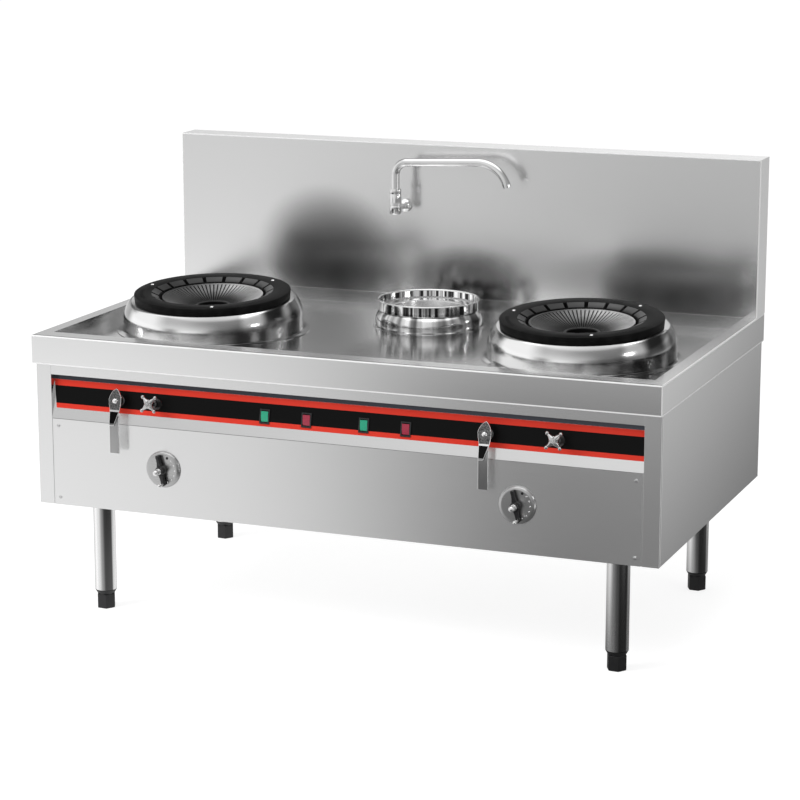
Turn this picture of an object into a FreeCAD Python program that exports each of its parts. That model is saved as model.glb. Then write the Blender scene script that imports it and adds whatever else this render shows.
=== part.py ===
import FreeCAD, Part
import math
import os
import Sketcher

# A free-standing gas wok range: worktop tray with two blown wok burners and a pot well between
# them, a tall splashback with a swing faucet, and a cabinet on four levelling legs.
# The frame is +Z up, front at -Y, origin on the floor under the middle of the worktop.

os.makedirs("parts", exist_ok=True)
Vector = FreeCAD.Vector

# Driving sizes in millimetres and degrees.
SIZES = {
    # worktop and splashback
    "range_width": 1800,
    "range_depth": 1050,
    "worktop_height": 800,
    "fascia_height": 80,
    "rim_front": 62,
    "rim_side": 38,
    "tray_depth": 37,
    "sheet_thickness": 1.5,
    "corner_radius": 4,
    "splash_height": 450,
    "splash_depth": 91.5,
    # cabinet
    "cabinet_bottom": 320,
    "front_inset": 18,
    "side_inset": 5,
    "post_width": 45,
    "post_return": 40,
    "landing_width": 30,
    "panel_seam": 4,
    "lower_panel_height": 246,
    "control_panel_run": 126,
    "control_panel_lean": 11.4,
    "label_bottom": 30,
    "label_top": 109,
    "label_thickness": 0.8,
    "label_skew": 12,
    "screw_inset": 15,
    "screw_rise": 21,
    "screw_radius": 2.5,
    "screw_head_radius": 5,
    "vent_length": 110,
    "vent_width": 8,
    "vent_pitch": 20,
    # legs, feet and the frame that joins them
    "leg_x": 755,
    "leg_y": 395,
    "leg_radius": 31,
    "leg_wall": 2,
    "leg_rise": 45,
    "leg_plate": 100,
    "leg_plate_thickness": 5,
    "leg_plug": 14,
    "foot_height": 54,
    "foot_collar": 12,
    "foot_across": 48,
    "foot_chamfer": 3,
    "foot_stem_radius": 8,
    "foot_stem_length": 46,
    "angle_width": 40,
    "angle_thickness": 4,
    "upright_width": 25,
    "upright_thickness": 3,
    "cross_rail_x": 790,
    # wok burners
    "burner_x": 550,
    "burner_y": -96,
    "ring_rise": 75,
    "ring_tilt": 3.3,
    "ring_radius": 223,
    "ring_thickness": 20,
    "ring_draft": 2,
    "seat_radius": 172,
    "seat_depth": 14,
    "throat_radius": 151,
    "slot_count": 18,
    "slot_width": 7,
    "slot_depth": 10,
    "boss_circle": 200,
    "boss_radius": 5.5,
    "boss_height": 2,
    "collar_radius": 256,
    "collar_lip_radius": 230,
    "collar_shoulder": 51,
    "collar_bow": 75,
    "collar_flange_radius": 275,
    "drum_radius": 203,
    "drum_wall": 3,
    "drum_depth": 242,
    "drum_flange_radius": 240,
    "lining_radius": 139,
    "lining_ledge": 34,
    "chamber_floor": 22,
    "cone_gap": 7,
    "cone_rim": 7,
    "cone_hub_radius": 50,
    "cone_throat_radius": 42,
    "cone_drop": 28,
    "fin_height": 9,
    "fin_count": 60,
    "head_radius": 62,
    "head_height": 46,
    "head_flange": 12,
    "port_radius": 5,
    "port_count": 12,
    "head_spigot_radius": 40,
    "head_spigot_length": 45,
    "mouth_gap": 1.5,
    # pot well
    "pot_x": 0,
    "pot_y": 190,
    "pot_rise": 41,
    "pot_band_radius": 143,
    "pot_band_height": 33,
    "pot_flare": 3,
    "pot_base_radius": 154,
    "pot_base_flange": 160,
    "pot_bow": 48,
    "pot_ledge_drop": 25,
    "pot_hole_radius": 103,
    "pot_well_depth": 190,
    "spun_thickness": 2,
    # swing faucet
    "faucet_x": -168,
    "faucet_standoff": 80,
    "faucet_bottom": 255,
    "faucet_body_height": 72,
    "faucet_body_radius": 17.3,
    "faucet_inlet_rise": 12,
    "faucet_inlet_radius": 9.5,
    "water_end_radius": 10.5,
    "water_end_length": 25,
    "faucet_flange_radius": 21,
    "faucet_flange_width": 8,
    "rear_connection": 38.8,
    "spout_radius": 12,
    "spout_wall": 1.5,
    "spout_riser": 60,
    "spout_first_bend": 38,
    "spout_run": 218,
    "spout_rise_angle": 2.5,
    "spout_last_bend": 90,
    "spout_last_angle": 76,
    # controls on the leaning panel
    "lever_left_x": -643,
    "lever_right_x": 428,
    "lever_up": 64,
    "cross_left_x": -532,
    "cross_right_x": 621,
    "cross_up": 64,
    "stem_radius": 6,
    "running_gap": 0.3,
    "air_neck_radius": 11,
    "air_neck_length": 19,
    "air_bore_depth": 22,
    "air_body_radius": 22,
    "air_body_length": 50,
    "lever_standoff": 6,
    "lever_thickness": 4,
    "lever_head_width": 38,
    "lever_tip": 34,
    "lever_waist": 25,
    "lever_lap": 40,
    "lever_tongue": 69,
    "lever_blade_width": 28,
    "lever_length": 145,
    "lever_bow": 44,
    "bolt_radius": 8,
    "bolt_height": 6,
    "pilot_rose_radius": 18,
    "pilot_rose_thickness": 4,
    "pilot_neck_radius": 8,
    "pilot_neck_length": 42,
    "pilot_body_radius": 14,
    "pilot_body_length": 56,
    "pilot_stem_radius": 4,
    "cross_hub_radius": 9,
    "cross_hub_length": 16,
    "cross_web_radius": 13,
    "cross_nub": 3,
    "cross_reach": 26,
    "cross_arm_radius": 3.6,
    "cross_ball_radius": 5.2,
    # rocker switches
    "switch_1_x": -207,
    "switch_2_x": -85,
    "switch_3_x": 80,
    "switch_4_x": 199,
    "switch_up": 57,
    "bezel_width": 29,
    "bezel_height": 40,
    "bezel_rise": 3,
    "bezel_rim": 2.5,
    "switch_body_depth": 26,
    "rocker_tilt": 11,
    "rocker_play": 2,
    "rocker_pivot_depth": 3.2,
    "rocker_barrel_radius": 3,
    # dials on the lower panel
    "dial_left_x": -508,
    "dial_right_x": 514,
    "dial_height": 451,
    "dial_radius": 51,
    "dial_thickness": 9,
    "dial_edge": 2,
    "dial_shoulder": 8,
    "dot_circle": 37,
    "dot_radius": 2.4,
    "dot_step": 22,
    "dot_depth": 1.2,
    "handle_hub_radius": 14,
    "handle_hub_length": 22,
    "handle_bar_length": 84,
    "handle_bar_width": 11,
    "handle_bar_lean": 9,
    "handle_bar_rise": 3,
    "handle_bar_depth": 13,
    "handle_spindle_radius": 7,
    "fit_gap": 0.05,
    "spindle_reach": 17,
    "spindle_ball_radius": 8.5,
    "handle_tail_inset": 6,
    "handle_tail_length": 20,
    "handle_tail_radius": 4,
    # gas and air inside the cabinet
    "gas_body_radius": 18,
    "gas_body_length": 50,
    "feed_radius": 8,
    "manifold_y": -466,
    "manifold_z": 520,
    "manifold_radius": 12,
    "gas_end_radius": 13.2,
    "gas_end_length": 30,
    "manifold_rear_x": 830,
    "manifold_bend": 40,
    "blower_y": 260,
    "blower_z": 440,
    "scroll_radius": 95,
    "scroll_width": 84,
    "blower_wall": 2,
    "blower_inlet_radius": 48,
    "motor_radius": 42,
    "motor_length": 95,
    "duct_width": 80,
    "duct_height": 70,
    "riser_width": 124,
    "riser_depth": 100,
    "riser_top": 606,
    "impeller_radius": 78,
    "impeller_width": 62,
    "impeller_hub_radius": 16,
    "blade_count": 20,
    "blade_depth": 16,
    "blade_thickness": 2,
    "shaft_radius": 5,
    "impeller_shaft_length": 18,
    # tray drain
    "drain_x": -600,
    "drain_y": 372,
    "drain_radius": 24,
    "drain_flange_radius": 32,
    "drain_length": 70,
    "drain_wall": 2,
}

doc = FreeCAD.newDocument("wok_range")
sheet = doc.addObject("Spreadsheet::Sheet", "sizes")
for row, (alias, value) in enumerate(SIZES.items(), 1):
    sheet.set("A%d" % row, alias)
    sheet.set("B%d" % row, str(value))
    sheet.setAlias("B%d" % row, alias)
doc.recompute()

nodes = []


class Size:
    """A size that carries both its number and its formula in the sheet."""

    def __init__(self, number, formula=None):
        self.number = float(number)
        self.formula = formula or repr(self.number)

    def joined(self, sign, other, number):
        return Size(number, "(%s %s %s)" % (self.formula, sign, size(other).formula))

    def __add__(self, other):
        return self.joined("+", other, self.number + size(other).number)

    def __sub__(self, other):
        return self.joined("-", other, self.number - size(other).number)

    def __mul__(self, other):
        return self.joined("*", other, self.number * size(other).number)

    def __truediv__(self, other):
        return self.joined("/", other, self.number / size(other).number)

    def __neg__(self):
        return Size(0) - self

    def __radd__(self, other):
        return size(other) + self

    def __rsub__(self, other):
        return size(other) - self

    def __rmul__(self, other):
        return size(other) * self


class Sizes:
    """The driving sizes by name."""

    def __init__(self):
        for alias, value in SIZES.items():
            setattr(self, alias, Size(value, "sizes." + alias))


def size(value):
    return value if isinstance(value, Size) else Size(value)


def sine(angle):
    return Size(math.sin(math.radians(size(angle).number)), "sin(%s)" % size(angle).formula)


def cosine(angle):
    return Size(math.cos(math.radians(size(angle).number)), "cos(%s)" % size(angle).formula)


s = Sizes()

# Levels and faces that several pieces share.
half_width = s.range_width / 2
front_edge = -s.range_depth / 2
rear_edge = s.range_depth / 2
splash_face = rear_edge - s.splash_depth
front_face = front_edge + s.front_inset
front_inner = front_face + s.sheet_thickness
rear_face = rear_edge - s.side_inset
rear_inner = rear_face - s.sheet_thickness
side_face = half_width - s.side_inset
side_inner = side_face - s.sheet_thickness
post_inner = side_face - s.post_width
skin_under = s.worktop_height - s.sheet_thickness
tray_floor = s.worktop_height - s.tray_depth
tray_under = tray_floor - s.sheet_thickness
cabinet_floor = s.cabinet_bottom + s.sheet_thickness
panel_foot = s.cabinet_bottom + s.lower_panel_height
lip_bottom = panel_foot + s.control_panel_run * cosine(s.control_panel_lean)
lip_rear = front_face + s.control_panel_run * sine(s.control_panel_lean)
rail_bottom = s.cabinet_bottom + s.leg_rise + s.leg_plate_thickness
ring_top = s.worktop_height + s.ring_rise
throat_under = -s.ring_thickness
burner_tray_y = s.burner_y + (ring_top - tray_floor) * sine(s.ring_tilt)
riser_y = s.burner_y + (ring_top - s.riser_top) * sine(s.ring_tilt)
faucet_y = splash_face - s.faucet_standoff
faucet_z = s.worktop_height + s.faucet_bottom
inlet_z = faucet_z + s.faucet_inlet_rise
rear_end = rear_edge + s.rear_connection

SIDES = (("left", -1), ("right", 1))


# ---------------------------------------------------------------- drawing helpers

def bind(item, name, value):
    """Tie one property to the sheet, or set it where it is a bare number."""
    value = size(value)
    item.setExpression(name, value.formula)


def place(item, x=0, y=0, z=0, axis=None, angle=None):
    """Move an item to x, y, z and turn it about an axis."""
    turn = FreeCAD.Rotation(axis, size(angle).number) if axis else FreeCAD.Rotation()
    item.Placement = FreeCAD.Placement(Vector(size(x).number, size(y).number, size(z).number), turn)
    for letter, value in zip("xyz", (x, y, z)):
        bind(item, "Placement.Base." + letter, value)
    if axis and isinstance(angle, Size):
        bind(item, "Placement.Rotation.Angle", angle)
    return item


def node(item, label):
    """Name an item as a piece of the range."""
    item.Label = label
    nodes.append(item)
    return item


def block(x, y, z):
    """A box between two limits on each axis."""
    item = doc.addObject("Part::Box", "block")
    for name, (low, high) in zip(("Length", "Width", "Height"), (x, y, z)):
        bind(item, name, high - size(low))
    return place(item, x[0], y[0], z[0])


def spread(side, inner, outer):
    """Limits along X of something on the left (-1) or right (1)."""
    return (inner, outer) if side > 0 else (-size(outer), -size(inner))


def rod(radius, length, x=0, y=0, z=0, axis=None, angle=None):
    """A cylinder that starts at x, y, z and runs along Z, or along Z turned."""
    item = doc.addObject("Part::Cylinder", "rod")
    bind(item, "Radius", radius)
    bind(item, "Height", length)
    return place(item, x, y, z, axis, angle)


ALONG_X = (Vector(0, 1, 0), 90)
ALONG_Y = (Vector(1, 0, 0), -90)
ALONG_FRONT = (Vector(1, 0, 0), 90)


def joined(*items):
    """One solid, or a group of solids, out of several."""
    item = doc.addObject("Part::MultiFuse", "joined")
    item.Shapes = list(items)
    item.Refine = True
    return item


def cut(base, *tools):
    """A base with its tools taken away."""
    item = doc.addObject("Part::Cut", "cut")
    item.Base = base
    item.Tool = tools[0] if len(tools) == 1 else joined(*tools)
    item.Refine = True
    return item


def body():
    return doc.addObject("PartDesign::Body", "body")


def sketch_on(owner, role, offset=0):
    """A sketch on an origin plane of a body, lifted along the plane's normal."""
    plane = [item for item in owner.Origin.OriginFeatures if item.Role == role][0]
    sketch = owner.newObject("Sketcher::SketchObject", "sketch")
    sketch.AttachmentSupport = [(plane, "")]
    sketch.MapMode = "FlatFace"
    bind(sketch, "AttachmentOffset.Base.z", offset)
    return sketch


def hold(sketch, geometry, point, axis, value):
    """Fix one coordinate of a point to the sheet."""
    value = size(value)
    if value.number == 0:
        line = -2 if axis == "X" else -1
        sketch.addConstraint(Sketcher.Constraint("PointOnObject", geometry, point, line))
        return
    rule = Sketcher.Constraint("Distance" + axis, -1, 1, geometry, point, value.number)
    sketch.setExpression("Constraints[%d]" % sketch.addConstraint(rule), value.formula)


def arc_between(start, end, radius):
    """The arc of a signed radius from start to end, and whether it runs anticlockwise."""
    chord = end - start
    normal = Vector(-chord.y, chord.x, 0).normalize()
    reach = math.sqrt(radius * radius - chord.Length * chord.Length / 4)
    centre = (start + end) * 0.5 + normal * (reach if radius > 0 else -reach)
    first, last = (start, end) if radius > 0 else (end, start)
    angles = [math.atan2(point.y - centre.y, point.x - centre.x) for point in (first, last)]
    return Part.ArcOfCircle(Part.Circle(centre, Vector(0, 0, 1), abs(radius)), *angles)


def outline(sketch, corners, closed=True):
    """Draw a line through corners (u, v), or an arc where a corner names a signed radius."""
    points = [Vector(size(corner[0]).number, size(corner[1]).number, 0) for corner in corners]
    count = len(corners) if closed else len(corners) - 1
    strokes = []
    for index in range(count):
        start, end = points[index], points[(index + 1) % len(points)]
        if len(corners[index]) == 2:
            stroke = (sketch.addGeometry(Part.LineSegment(start, end), False), 1, 2)
        else:
            radius = size(corners[index][2])
            geometry = sketch.addGeometry(arc_between(start, end, radius.number), False)
            stroke = (geometry, 1, 2) if radius.number > 0 else (geometry, 2, 1)
            rule = Sketcher.Constraint("Radius", geometry, abs(radius.number))
            formula = radius.formula if radius.number > 0 else (-radius).formula
            sketch.setExpression("Constraints[%d]" % sketch.addConstraint(rule), formula)
        strokes.append(stroke)
    for index, (geometry, first, last) in enumerate(strokes):
        hold(sketch, geometry, first, "X", corners[index][0])
        hold(sketch, geometry, first, "Y", corners[index][1])
        if closed or index + 1 < len(strokes):
            follower, start, end = strokes[(index + 1) % len(strokes)]
            sketch.addConstraint(Sketcher.Constraint("Coincident", geometry, last, follower, start))
        else:
            hold(sketch, geometry, last, "X", corners[-1][0])
            hold(sketch, geometry, last, "Y", corners[-1][1])


def ring_line(sketch, radius, u=0, v=0):
    """Draw a circle."""
    radius = size(radius)
    centre = Vector(size(u).number, size(v).number, 0)
    geometry = sketch.addGeometry(Part.Circle(centre, Vector(0, 0, 1), radius.number), False)
    hold(sketch, geometry, 3, "X", u)
    hold(sketch, geometry, 3, "Y", v)
    rule = sketch.addConstraint(Sketcher.Constraint("Radius", geometry, radius.number))
    sketch.setExpression("Constraints[%d]" % rule, radius.formula)


def oblong(low_u, high_u, low_v, high_v):
    """The corners of a rectangle."""
    return [(low_u, low_v), (high_u, low_v), (high_u, high_v), (low_u, high_v)]


def pad(owner, sketch, length, reverse=False, middle=False):
    feature = owner.newObject("PartDesign::Pad", "pad")
    feature.Profile = sketch
    bind(feature, "Length", length)
    feature.Reversed = reverse
    feature.Midplane = middle
    return feature


def pocket(owner, sketch, depth=None, reverse=False):
    """Cut a sketch to a depth, or right through both ways."""
    feature = owner.newObject("PartDesign::Pocket", "pocket")
    feature.Profile = sketch
    if depth is None:
        feature.Type = "ThroughAll"
        feature.Midplane = True
    else:
        bind(feature, "Length", depth)
        feature.Reversed = reverse
    return feature


def turned(owner, corners):
    """Revolve an outline of (radius, height) about Z."""
    sketch = sketch_on(owner, "XZ_Plane")
    outline(sketch, corners)
    feature = owner.newObject("PartDesign::Revolution", "turned")
    feature.Profile = sketch
    feature.ReferenceAxis = (sketch, ["V_Axis"])
    feature.Angle = 360
    return feature


def repeated(owner, feature, count):
    """Repeat a feature round Z."""
    pattern = owner.newObject("PartDesign::PolarPattern", "repeated")
    pattern.Originals = [feature]
    pattern.Axis = ([item for item in owner.Origin.OriginFeatures if item.Role == "Z_Axis"][0], [""])
    pattern.Angle = 360
    bind(pattern, "Occurrences", count)
    owner.Tip = pattern
    return pattern


def rounded(owner, feature, radius, wanted):
    """Round the edges of a feature for which wanted(edge) holds."""
    doc.recompute()
    names = ["Edge%d" % (index + 1) for index, edge in enumerate(feature.Shape.Edges) if wanted(edge)]
    fillet = owner.newObject("PartDesign::Fillet", "rounded")
    fillet.Base = (feature, names)
    bind(fillet, "Radius", radius)
    return fillet


def upright(edge):
    """Whether an edge runs along Z."""
    box = edge.BoundBox
    return box.XLength < 1e-4 and box.YLength < 1e-4 and box.ZLength > 1e-4


def plate(role, corners, thickness, holes=(), openings=(), reverse=False):
    """A flat sheet with round holes (radius, u, v) and openings given by their corners."""
    owner = body()
    sketch = sketch_on(owner, role)
    outline(sketch, corners)
    for radius, u, v in holes:
        ring_line(sketch, radius, u, v)
    for opening in openings:
        outline(sketch, opening)
    pad(owner, sketch, thickness, reverse)
    return owner


def on_burner(item, side):
    """Stand an item on the middle of a wok ring's top, which is higher at the rear."""
    return place(item, side * s.burner_x, s.burner_y, ring_top, Vector(1, 0, 0), s.ring_tilt)


def on_panel(item, x=0, up=0, out=0):
    """Stand an item on the leaning control panel: along, up the slope and out of it."""
    lean_sine, lean_cosine = sine(s.control_panel_lean), cosine(s.control_panel_lean)
    y = front_face + up * lean_sine - out * lean_cosine
    z = panel_foot + up * lean_cosine + out * lean_sine
    return place(item, x, y, z, Vector(1, 0, 0), -s.control_panel_lean)


# ---------------------------------------------------------------- worktop and splashback

def worktop_tray():
    """One folded sheet: fascia all round, flat rim and a sunken tray with its openings."""
    owner = body()
    base = sketch_on(owner, "XY_Plane")
    outline(base, oblong(-half_width, half_width, front_edge, rear_edge))
    slab = pad(owner, base, s.fascia_height)
    corners = rounded(owner, slab, s.corner_radius, upright)
    doc.recompute()
    top = max(edge.BoundBox.ZMin for edge in corners.Shape.Edges)
    rounded(owner, corners, s.corner_radius - s.sheet_thickness, lambda edge: edge.BoundBox.ZMin > top - 0.01)
    hollow = sketch_on(owner, "XY_Plane")
    inner_x, inner_y = half_width - s.sheet_thickness, rear_edge - s.sheet_thickness
    outline(hollow, oblong(-inner_x, inner_x, -inner_y, inner_y))
    pocket(owner, hollow, s.fascia_height - s.sheet_thickness, reverse=True)
    basin_x, basin_front = half_width - s.rim_side, front_edge + s.rim_front
    wall = s.sheet_thickness
    skin = sketch_on(owner, "XY_Plane", s.fascia_height - s.tray_depth - wall)
    outline(skin, oblong(-basin_x - wall, basin_x + wall, basin_front - wall, splash_face + wall))
    pad(owner, skin, s.tray_depth)
    basin = sketch_on(owner, "XY_Plane", s.fascia_height)
    outline(basin, oblong(-basin_x, basin_x, basin_front, splash_face))
    pocket(owner, basin, s.tray_depth)
    openings = sketch_on(owner, "XY_Plane")
    for name, side in SIDES:
        ring_line(openings, s.drum_radius + 2, side * s.burner_x, burner_tray_y)
    ring_line(openings, s.pot_hole_radius + 12, s.pot_x, s.pot_y)
    ring_line(openings, s.drain_radius + s.running_gap, s.drain_x, s.drain_y)
    pocket(owner, openings)
    node(place(owner, z=s.worktop_height - s.fascia_height), "worktop_tray")


def splashback():
    """A folded box behind the tray, open at the bottom and the rear."""
    owner = body()
    base = sketch_on(owner, "XY_Plane")
    outline(base, oblong(-half_width, half_width, splash_face, rear_edge))
    box = pad(owner, base, s.splash_height)
    middle = (splash_face.number + rear_edge.number) / 2
    rounded(owner, box, s.corner_radius, lambda edge: upright(edge) and edge.BoundBox.YMin < middle)
    hollow = sketch_on(owner, "XY_Plane")
    inner_x = half_width - s.sheet_thickness
    outline(hollow, oblong(-inner_x, inner_x, splash_face + s.sheet_thickness, rear_edge + s.sheet_thickness))
    pocket(owner, hollow, s.splash_height - s.sheet_thickness, reverse=True)
    inlet = sketch_on(owner, "XZ_Plane")
    ring_line(inlet, s.water_end_radius + s.running_gap, s.faucet_x, inlet_z - s.worktop_height)
    pocket(owner, inlet)
    node(place(owner, z=s.worktop_height), "splashback")


def splash_rear_cover():
    inner_x = half_width - s.sheet_thickness
    splash_top = s.worktop_height + s.splash_height
    corners = oblong(-inner_x, inner_x, s.worktop_height, splash_top - s.sheet_thickness)
    hole = (s.water_end_radius + s.running_gap, s.faucet_x, inlet_z)
    cover = plate("XZ_Plane", corners, s.sheet_thickness, [hole])
    node(place(cover, y=rear_edge), "splash_rear_cover")


# ---------------------------------------------------------------- cabinet

def side_panels():
    for name, side in SIDES:
        corners = oblong(front_inner, rear_inner, s.cabinet_bottom, skin_under)
        panel = plate("YZ_Plane", corners, s.sheet_thickness)
        low = spread(side, side_inner, side_face)[0]
        node(place(panel, x=low), "side_panel_" + name)


def back_panel():
    """The rear sheet, with the gas inlet's hole and air slots behind each blower."""
    corners = oblong(-side_face, side_face, s.cabinet_bottom, skin_under)
    hole = (s.gas_end_radius + s.running_gap, s.manifold_rear_x, s.manifold_z)
    slots = []
    for name, side in SIDES:
        for step in range(-3, 4):
            low = s.blower_z + step * s.vent_pitch - s.vent_width / 2
            left = side * s.burner_x - s.vent_length / 2
            slots.append(oblong(left, left + s.vent_length, low, low + s.vent_width))
    panel = plate("XZ_Plane", corners, s.sheet_thickness, [hole], slots)
    node(place(panel, y=rear_face), "back_panel")


def bottom_panel():
    corners = oblong(-side_inner, side_inner, front_inner, rear_inner)
    holes = [(s.leg_radius + s.running_gap, x, y) for x in (-s.leg_x, s.leg_x) for y in (-s.leg_y, s.leg_y)]
    panel = plate("XY_Plane", corners, s.sheet_thickness, holes)
    node(place(panel, z=s.cabinet_bottom), "bottom_panel")


def front_posts():
    """Folded posts: front flange, return beside the recess, and a landing for the lower panel."""
    pieces = []
    thick = s.sheet_thickness
    for name, side in SIDES:
        front_x = spread(side, post_inner, side_face)
        pieces.append(block(front_x, (front_face, front_inner), (s.cabinet_bottom, skin_under)))
        web_x = spread(side, post_inner, post_inner + thick)
        pieces.append(block(web_x, (front_inner, front_inner + s.post_return), (cabinet_floor, skin_under)))
        landing_x = spread(side, post_inner - s.landing_width, post_inner)
        pieces.append(block(landing_x, (front_inner, front_inner + thick), (cabinet_floor, panel_foot - 1)))
    node(joined(*pieces), "front_posts")


def top_rail():
    """The lip over the controls: an upright web and a flange that runs back to the panel."""
    owner = body()
    profile = sketch_on(owner, "YZ_Plane")
    wall = s.sheet_thickness
    outline(profile, [(front_face, lip_bottom), (lip_rear, lip_bottom), (lip_rear, lip_bottom + wall),
                      (front_inner, lip_bottom + wall), (front_inner, skin_under), (front_face, skin_under)])
    pad(owner, profile, post_inner * 2, middle=True)
    node(place(owner), "top_rail")


LEVERS = (("left", s.lever_left_x), ("right", s.lever_right_x))
CROSSES = (("left", s.cross_left_x), ("right", s.cross_right_x))
DIALS = (("left", s.dial_left_x), ("right", s.dial_right_x))
SWITCHES = (("green_left", s.switch_1_x), ("red_left", s.switch_2_x),
            ("green_right", s.switch_3_x), ("red_right", s.switch_4_x))


def control_holes():
    """The round holes and switch openings of the control panel and its label."""
    holes = [(s.air_neck_radius + s.running_gap, x, s.lever_up) for name, x in LEVERS]
    holes += [(s.pilot_neck_radius + s.running_gap, x, s.cross_up) for name, x in CROSSES]
    openings = []
    for name, x in SWITCHES:
        wide = s.bezel_width / 2 - s.bezel_rim + s.running_gap
        tall = s.bezel_height / 2 - s.bezel_rim + s.running_gap
        openings.append(oblong(x - wide, x + wide, s.switch_up - tall, s.switch_up + tall))
    return holes, openings


def control_panel():
    holes, openings = control_holes()
    corners = oblong(-post_inner, post_inner, 0, s.control_panel_run)
    panel = plate("XZ_Plane", corners, s.sheet_thickness, holes, openings, reverse=True)
    node(on_panel(panel), "control_panel")


def control_label():
    """The printed band on the panel; its left end is cut on a slant."""
    holes, openings = control_holes()
    corners = [(s.label_skew - post_inner, s.label_bottom), (post_inner, s.label_bottom),
               (post_inner, s.label_top), (-post_inner, s.label_top)]
    label = plate("XZ_Plane", corners, s.label_thickness, holes, openings)
    node(on_panel(label), "control_label")


def screw_places():
    x = post_inner - s.panel_seam - s.screw_inset
    heights = (s.cabinet_bottom + s.screw_rise, panel_foot - s.screw_rise)
    return [(side * x, z) for name, side in SIDES for z in heights]


def lower_panel():
    reach = post_inner - s.panel_seam
    holes = [(s.screw_radius + s.running_gap, x, z) for x, z in screw_places()]
    holes += [(s.stem_radius + 2, x, s.dial_height) for name, x in DIALS]
    corners = oblong(-reach, reach, s.cabinet_bottom, panel_foot - 1)
    panel = plate("XZ_Plane", corners, s.sheet_thickness, holes)
    node(place(panel, y=front_inner), "lower_panel")


def panel_screws():
    """Four pan-head screws that hold the lower panel on its landings."""
    pieces = []
    for x, z in screw_places():
        pieces.append(rod(s.screw_radius, s.sheet_thickness, x, front_face, z, *ALONG_Y))
        head = doc.addObject("Part::Cone", "head")
        bind(head, "Radius1", s.screw_head_radius)
        bind(head, "Radius2", s.screw_head_radius * 0.6)
        bind(head, "Height", s.screw_radius)
        pieces.append(place(head, x, front_face, z, *ALONG_FRONT))
    node(joined(*pieces), "panel_screws")


def angle_bar(x, y, z, thick_x=None, thick_y=None, thick_z=None):
    """Two flanges of an angle bar inside the limits x, y, z."""
    limits = {"x": x, "y": y, "z": z}
    thick = {"x": thick_x, "y": thick_y, "z": thick_z}
    flanges = []
    for letter, part in thick.items():
        if part is None:
            continue
        low, high, wall = size(limits[letter][0]), size(limits[letter][1]), size(part)
        thin = (low, low + wall) if wall.number > 0 else (high + wall, high)
        flanges.append(block(*[thin if key == letter else limits[key] for key in "xyz"]))
    return flanges


def subframe():
    """Angle-iron frame: rails over the legs, cross rails and four corner uprights."""
    pieces = []
    wide, thick = s.angle_width, s.angle_thickness
    level = (rail_bottom, rail_bottom + wide)
    for side in (-1, 1):
        middle = side * s.leg_y
        rail_y = (middle - wide / 2, middle + wide / 2)
        pieces += angle_bar((-side_inner, side_inner), rail_y, level, thick_y=side * thick, thick_z=thick)
        post_x = spread(side, side_inner - s.upright_width, side_inner)
        cross_x = spread(side, s.cross_rail_x, s.cross_rail_x + wide)
        cross_y = (-s.leg_y - wide / 2, s.leg_y + wide / 2)
        pieces += angle_bar(cross_x, cross_y, level, thick_x=-side * thick, thick_z=thick)
        pieces += angle_bar(post_x, (front_inner, front_inner + s.upright_width), (cabinet_floor, skin_under),
                            thick_x=-side * s.upright_thickness, thick_y=s.upright_thickness)
        pieces += angle_bar(post_x, (rear_inner - s.upright_width, rear_inner), (cabinet_floor, skin_under),
                            thick_x=-side * s.upright_thickness, thick_y=-s.upright_thickness)
    node(joined(*pieces), "subframe")


# ---------------------------------------------------------------- legs and feet

CORNERS = (("front_left", -1, -1), ("front_right", 1, -1), ("rear_left", -1, 1), ("rear_right", 1, 1))


def leg(label, x, y):
    """A tube with a threaded plug at the bottom and a plate under the frame."""
    owner = body()
    bore = s.leg_radius - s.leg_wall
    top = s.cabinet_bottom + s.leg_rise - s.foot_height
    thread = s.foot_stem_radius + s.running_gap
    turned(owner, [(thread, 0), (s.leg_radius, 0), (s.leg_radius, top), (bore, top), (bore, s.leg_plug),
                   (thread, s.leg_plug)])
    head = sketch_on(owner, "XY_Plane", top)
    half = s.leg_plate / 2
    outline(head, oblong(-half, half, -half, half))
    pad(owner, head, s.leg_plate_thickness)
    node(place(owner, x, y, s.foot_height), label)


def foot(label, x, y):
    """A hexagonal levelling foot with a tapered collar and its threaded stem."""
    owner = body()
    hexagon = sketch_on(owner, "XY_Plane")
    across = s.foot_across / 2 / cosine(30)
    turns = [30 + 60 * step for step in range(6)]
    outline(hexagon, [(across * cosine(turn), across * sine(turn)) for turn in turns])
    block_height = s.foot_height - s.foot_collar
    hexagonal = pad(owner, hexagon, block_height)
    doc.recompute()
    chamfer = owner.newObject("PartDesign::Chamfer", "chamfer")
    edges = enumerate(hexagonal.Shape.Edges, 1)
    chamfer.Base = (hexagonal, ["Edge%d" % number for number, edge in edges if edge.BoundBox.ZMax < 0.01])
    bind(chamfer, "Size", s.foot_chamfer)
    neck = s.foot_across / 2
    stem_top = s.foot_height + s.foot_stem_length
    turned(owner, [(0, block_height - 1), (neck - 1, block_height - 1), (neck, block_height),
                   (s.leg_radius, s.foot_height), (s.foot_stem_radius, s.foot_height),
                   (s.foot_stem_radius, stem_top), (0, stem_top)])
    node(place(owner, x, y, 0, Vector(0, 0, 1), 26), label)


def legs_and_feet():
    for name, side, depth in CORNERS:
        leg("leg_" + name, side * s.leg_x, depth * s.leg_y)
        foot("foot_" + name, side * s.leg_x, depth * s.leg_y)


# ---------------------------------------------------------------- wok burners

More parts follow.
